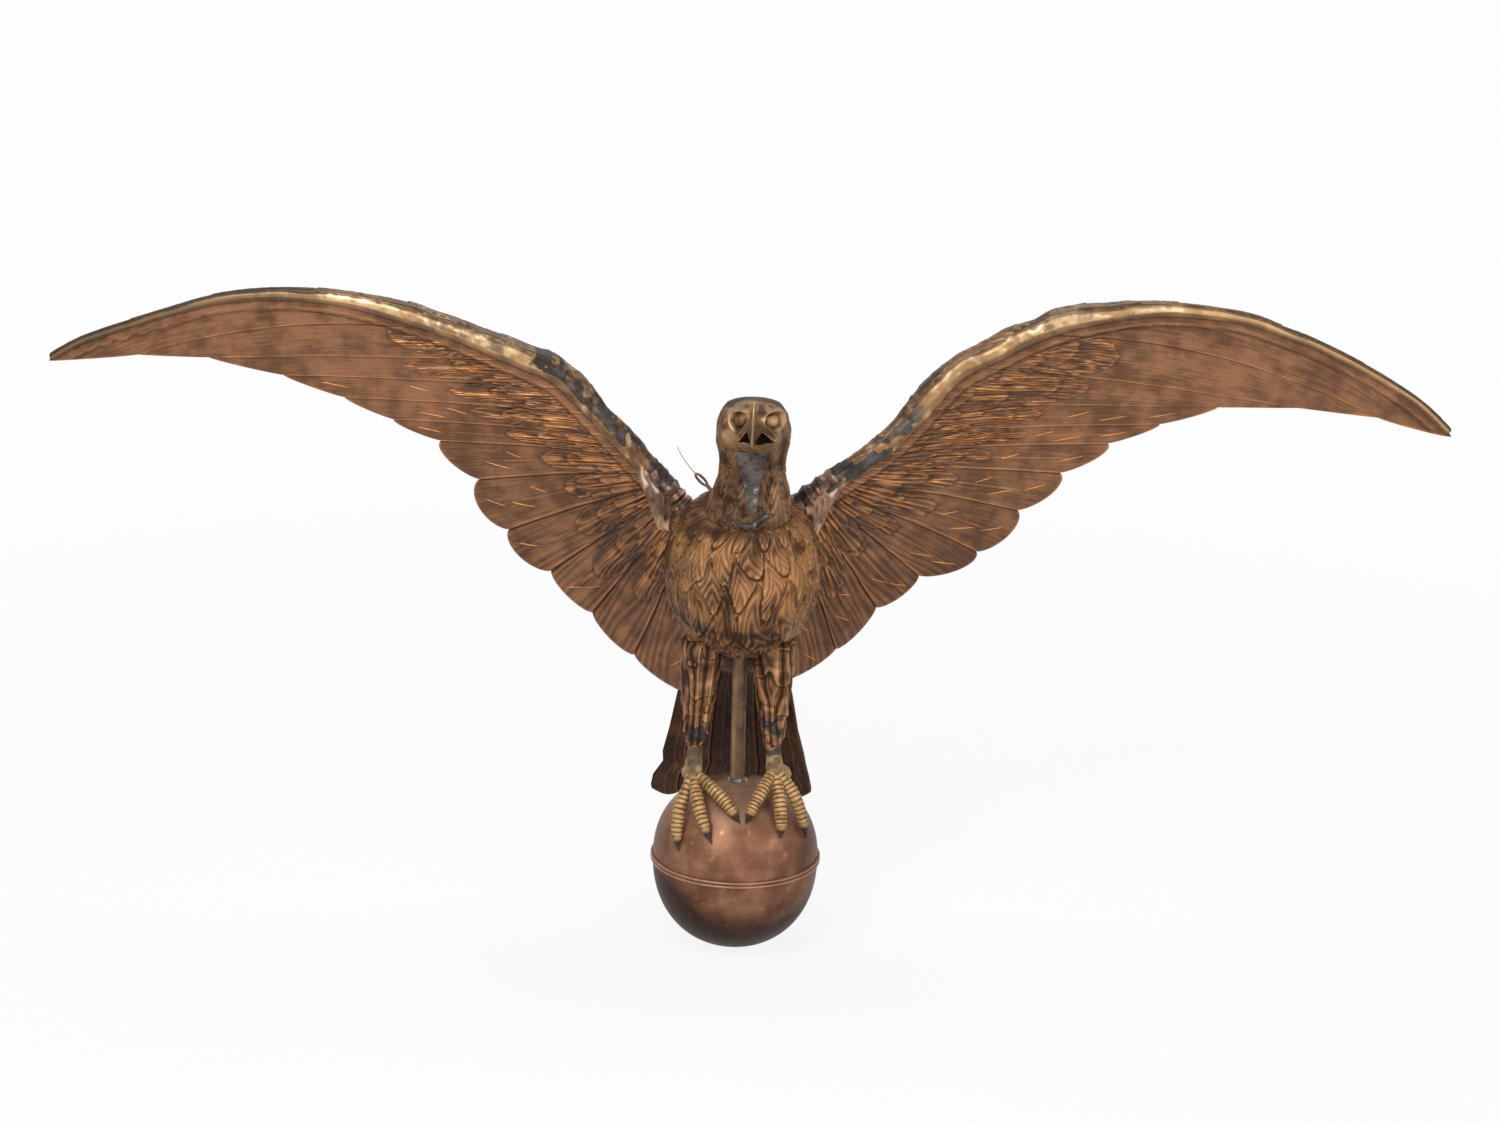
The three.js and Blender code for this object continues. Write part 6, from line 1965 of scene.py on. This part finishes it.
@dataclass
class Fittings:
    """The tube between the legs, and the twisted wire eye left at the shoulder."""

    tube_radius: float = 7.9
    tube_bore: float = 6.2
    tube_foot: float = 2.5
    tube_top: float = 482.3
    shank_foot: tuple[float, float, float] = (-38.0, 10.0, 524.0)
    eye: tuple[float, float, float] = (-47.0, 14.0, 533.0)
    eye_half_length: float = 8.6
    eye_half_width: float = 2.6
    wire_radius: float = 1.6
    strand_radius: float = 1.3
    end_out: float = 21.0
    end_rise: float = 30.0

    def tube(self) -> Shell:
        """The tube: its walls turned, the outer one a little dented, with a pale line down its left.

        Returns:
            The shell.
        """
        heights = np.linspace(self.tube_foot, self.tube_top, 160)
        outer = np.stack([0 * heights + self.tube_radius, heights], -1)
        inner = np.stack([0 * heights[::-1] + self.tube_bore, heights[::-1]], -1)
        rings = lathe(np.concatenate([outer, inner]), 48)
        angle = turns(48)
        # A pale line down the tube's left side, laid with the crest mask.
        rubbed = bump(np.abs(angle - math.radians(232)), 0.3)
        dent = noise(rings, 14.0, 141)
        flat = units(rings * LEVEL)
        rings = rings + flat * (0.12 * dent)[..., None]
        return ring_shell(rings, crest=rubbed * (0.6 + 0.4 * dent), hollow=ramp(0.4, 0.9, -dent))

    def wire(self) -> list[Shell]:
        """The wire: an oval eye, two strands twisted round each other for a shank, and a thin bent end.

        Returns:
            The shells.
        """
        foot, centre = np.array(self.shank_foot), np.array(self.eye)
        along = units(np.array([centre[0] - foot[0], 0, centre[2] - foot[2]]))
        across = np.cross(AHEAD, along)
        angle = turns(64)[:, None]
        long, wide = along * self.eye_half_length, across * self.eye_half_width
        loop = centre + long * np.cos(angle) + wide * np.sin(angle)
        outward = units(along * np.cos(angle) + across * np.sin(angle))
        section = turns(12)[None, :, None]
        circle = outward[:, None] * np.cos(section) + AHEAD * np.sin(section)
        shells = [ring_shell(loop[:, None] + self.wire_radius * circle, crest=0.4)]
        deep = foot - along * 8
        share = steps(70)[:, None]
        for start in (0.0, math.pi):
            twist = start + FULL_TURN * 3.2 * share
            strand = mixed(centre - long, deep, share) + across * np.cos(twist) + AHEAD * np.sin(twist)
            coil = swept(strand, np.full(70, self.strand_radius), 10)
            shells.append(tube_shell(coil, crest=0.3))
        high = centre + long
        end = high + np.array([-self.end_out, 0, self.end_rise])
        bow = mixed(high, end, 0.5) - across * 3.0
        thin = swept(curve(high, bow, end, share), mixed(0.5, 0.32, share[:, 0]), 8)
        shells.append(tube_shell(thin, crest=0.8))
        return shells

    def build(self) -> None:
        """Makes and sets the fittings, and dresses the hidden nodes."""
        set_piece("upright_tube", [self.tube()], TUBE_IRON, ("pivot_tube",))
        set_piece("wire_eye", self.wire(), WIRE_IRON, ("hanging_loop",))
        for node in ("spindle", "pivot_cap", "guide_bush"):
            dress_node(node, TURNED_STEEL)
        for node in ("wing_spar", "spar_clamp"):
            dress_node(node, TUBE_IRON)


RIGHT_LEG = {
    "side": "right",
    "hip": (-0.875, 0.2),
    "ankle": (-0.98, 0.73),
    "knuckle": (-1.0, 1.0, 1.0),
    "toes": (
        (0.95, -49, 53.8, -43.6, 71.7), (1.05, -33, 43.7, -18.2, 61.8), (1.0, -12, 33.5, 3.2, 46.2),
        (1.1, -130, 44, -142, 50),
    ),
}
LEFT_LEG = {
    "side": "left",
    "hip": (0.77, 0.2),
    "ankle": (0.79, 0.73),
    "knuckle": (0.854, 1.0, 1.033),
    "toes": (
        (1.4, 57, 43.3, 62.2, 66.3), (0.8, 39.6, 45.9, 36.7, 60.0), (0.95, 20, 35, 9.4, 46.2),
        (1.1, 130, 44, 142, 50),
    ),
}


# Studio


@dataclass
class Studio:
    """The camera of the photograph, the pale floor, and the soft lamps."""

    focal_pixels: float = 3222.0
    image_width: float = 1500.0
    sensor: float = 36.0
    distance: float = 3.5
    target: tuple[float, float, float] = (0.008, 0.0, 0.445)
    elevation: float = 16.5
    roll: float = 1.5
    dim: float = 0.16
    floor_reach: float = 30.0

    @staticmethod
    def stand(name: str, data: bpy.types.ID, axes: list[Array], place: Array) -> bpy.types.Object:
        """Sets a camera or a lamp at its place.

        Args:
            name: Its name.
            data: The lens or the light.
            axes: Its right, its top and its rear, as unit vectors.
            place: Where it stands, in metres.

        Returns:
            The object.
        """
        matrix = np.eye(4)
        matrix[:3, :3] = np.stack(axes, -1)
        matrix[:3, 3] = place
        item = bpy.data.objects.new(name, data)
        item.matrix_world = Matrix(matrix.tolist())
        bpy.context.scene.collection.objects.link(item)
        return item

    def camera(self) -> None:
        """Sets the camera: it looks down at the target by the elevation, rolled a little."""
        tilt, roll = math.radians(self.elevation), math.radians(self.roll)
        forward = np.array([0, math.cos(tilt), -math.sin(tilt)])
        up, right = np.array([0, math.sin(tilt), math.cos(tilt)]), np.array([1.0, 0, 0])
        across = right * math.cos(roll) + up * math.sin(roll)
        upward = up * math.cos(roll) - right * math.sin(roll)
        place = np.array(self.target) - self.distance * forward
        lens = bpy.data.cameras.new("camera")
        lens.sensor_fit = "HORIZONTAL"
        lens.sensor_width = self.sensor
        lens.lens = self.focal_pixels / self.image_width * self.sensor
        lens.clip_end = 100.0
        bpy.context.scene.camera = self.stand("camera", lens, [across, upward, -forward], place)

    def lamp(self, name: str, place: Colour, size: float, power: float) -> None:
        """A square lamp that faces the eagle.

        Args:
            name: Its name.
            place: Where it stands, in metres.
            size: Its width.
            power: Its power in watts.
        """
        light = bpy.data.lights.new(name, "AREA")
        light.size = size
        light.energy = power
        towards = units(np.array([0.0, 0.0, 0.42]) - np.array(place))
        side = units(np.cross(towards, UPWARD))
        self.stand(name, light, [side, np.cross(side, towards), -towards], np.array(place))

    def floor(self) -> None:
        """A wide pale floor, part plain white where it is seen, so that it keeps a shadow."""
        mesh = bpy.data.meshes.new("floor")
        corners = [(-1, -1), (1, -1), (1, 1), (-1, 1)]
        points = [(x * self.floor_reach, y * self.floor_reach, 0) for x, y in corners]
        mesh.from_pydata(points, [], [(0, 1, 2, 3)])
        floor = bpy.data.objects.new("floor", mesh)
        bpy.context.scene.collection.objects.link(floor)
        material = bpy.data.materials.new("floor_white")
        tree = Tree(material)
        tree.put(tree.shader.inputs["Base Color"], (0.72, 0.72, 0.72, 1.0))
        tree.shader.inputs["Roughness"].default_value = 0.9
        seen = self.seen_rays(tree).held()
        white = tree.node("ShaderNodeEmission", {}, {"Color": (1, 1, 1, 1), "Strength": 1.0})
        away = tree.node("ShaderNodeVectorMath", {"operation": "LENGTH"}, {0: tree.place()}, "Value")
        share = seen * (0.88 + 0.1 * away.ramp(0.7, 2.5))
        sockets = {"Fac": share, 1: Field(tree, tree.shader.outputs[0]), 2: white}
        surface = tree.node("ShaderNodeMixShader", {}, sockets)
        tree.links.new(surface.socket, tree.nodes["Material Output"].inputs["Surface"])
        mesh.materials.append(material)

    @staticmethod
    def seen_rays(tree: Tree) -> Field:
        """Rays from the camera, a mirror or a glass.

        Args:
            tree: The tree that asks.

        Returns:
            How many of the three kinds the ray is.
        """
        kinds = ("Is Camera Ray", "Is Glossy Ray", "Is Transmission Ray")
        camera, glossy, clear = (tree.node("ShaderNodeLightPath", {}, {}, kind) for kind in kinds)
        return camera + glossy + clear

    def world(self) -> None:
        """A plain dim light all round, white where it is seen."""
        world = bpy.data.worlds.new("studio")
        bpy.context.scene.world = world
        tree = Tree(world, "Background")
        sockets = {"Value": self.seen_rays(tree), "To Min": self.dim, "To Max": 1.0}
        tree.put(tree.shader.inputs["Strength"], tree.node("ShaderNodeMapRange", {}, sockets))
        tree.shader.inputs["Color"].default_value = (1.0, 1.0, 1.0, 1.0)

    def build(self) -> None:
        """Sets up the camera, the light and the floor."""
        bpy.context.scene.view_settings.view_transform = "Standard"
        self.camera()
        self.world()
        self.floor()
        self.lamp("key", (-1.1, -2.2, 2.6), 1.6, 88.0)
        self.lamp("fill", (2.0, -2.2, 1.2), 1.8, 32.0)
        self.lamp("top", (0.2, 0.9, 2.8), 1.6, 42.0)


def main() -> None:
    """Builds the studio and every piece of the weathervane, in order."""
    logging.basicConfig(level=logging.INFO, format="%(message)s")
    Studio().build()
    ball = Ball()
    assemblies = (
        Wing(**LEFT_WING), Wing(**RIGHT_WING), Body(), Head(), Tail(), ball,
        Leg(ball=ball, **LEFT_LEG), Leg(ball=ball, **RIGHT_LEG), Fittings(),
    )
    for assembly in assemblies:
        assembly.build()


if __name__ == "__main__":
    main()
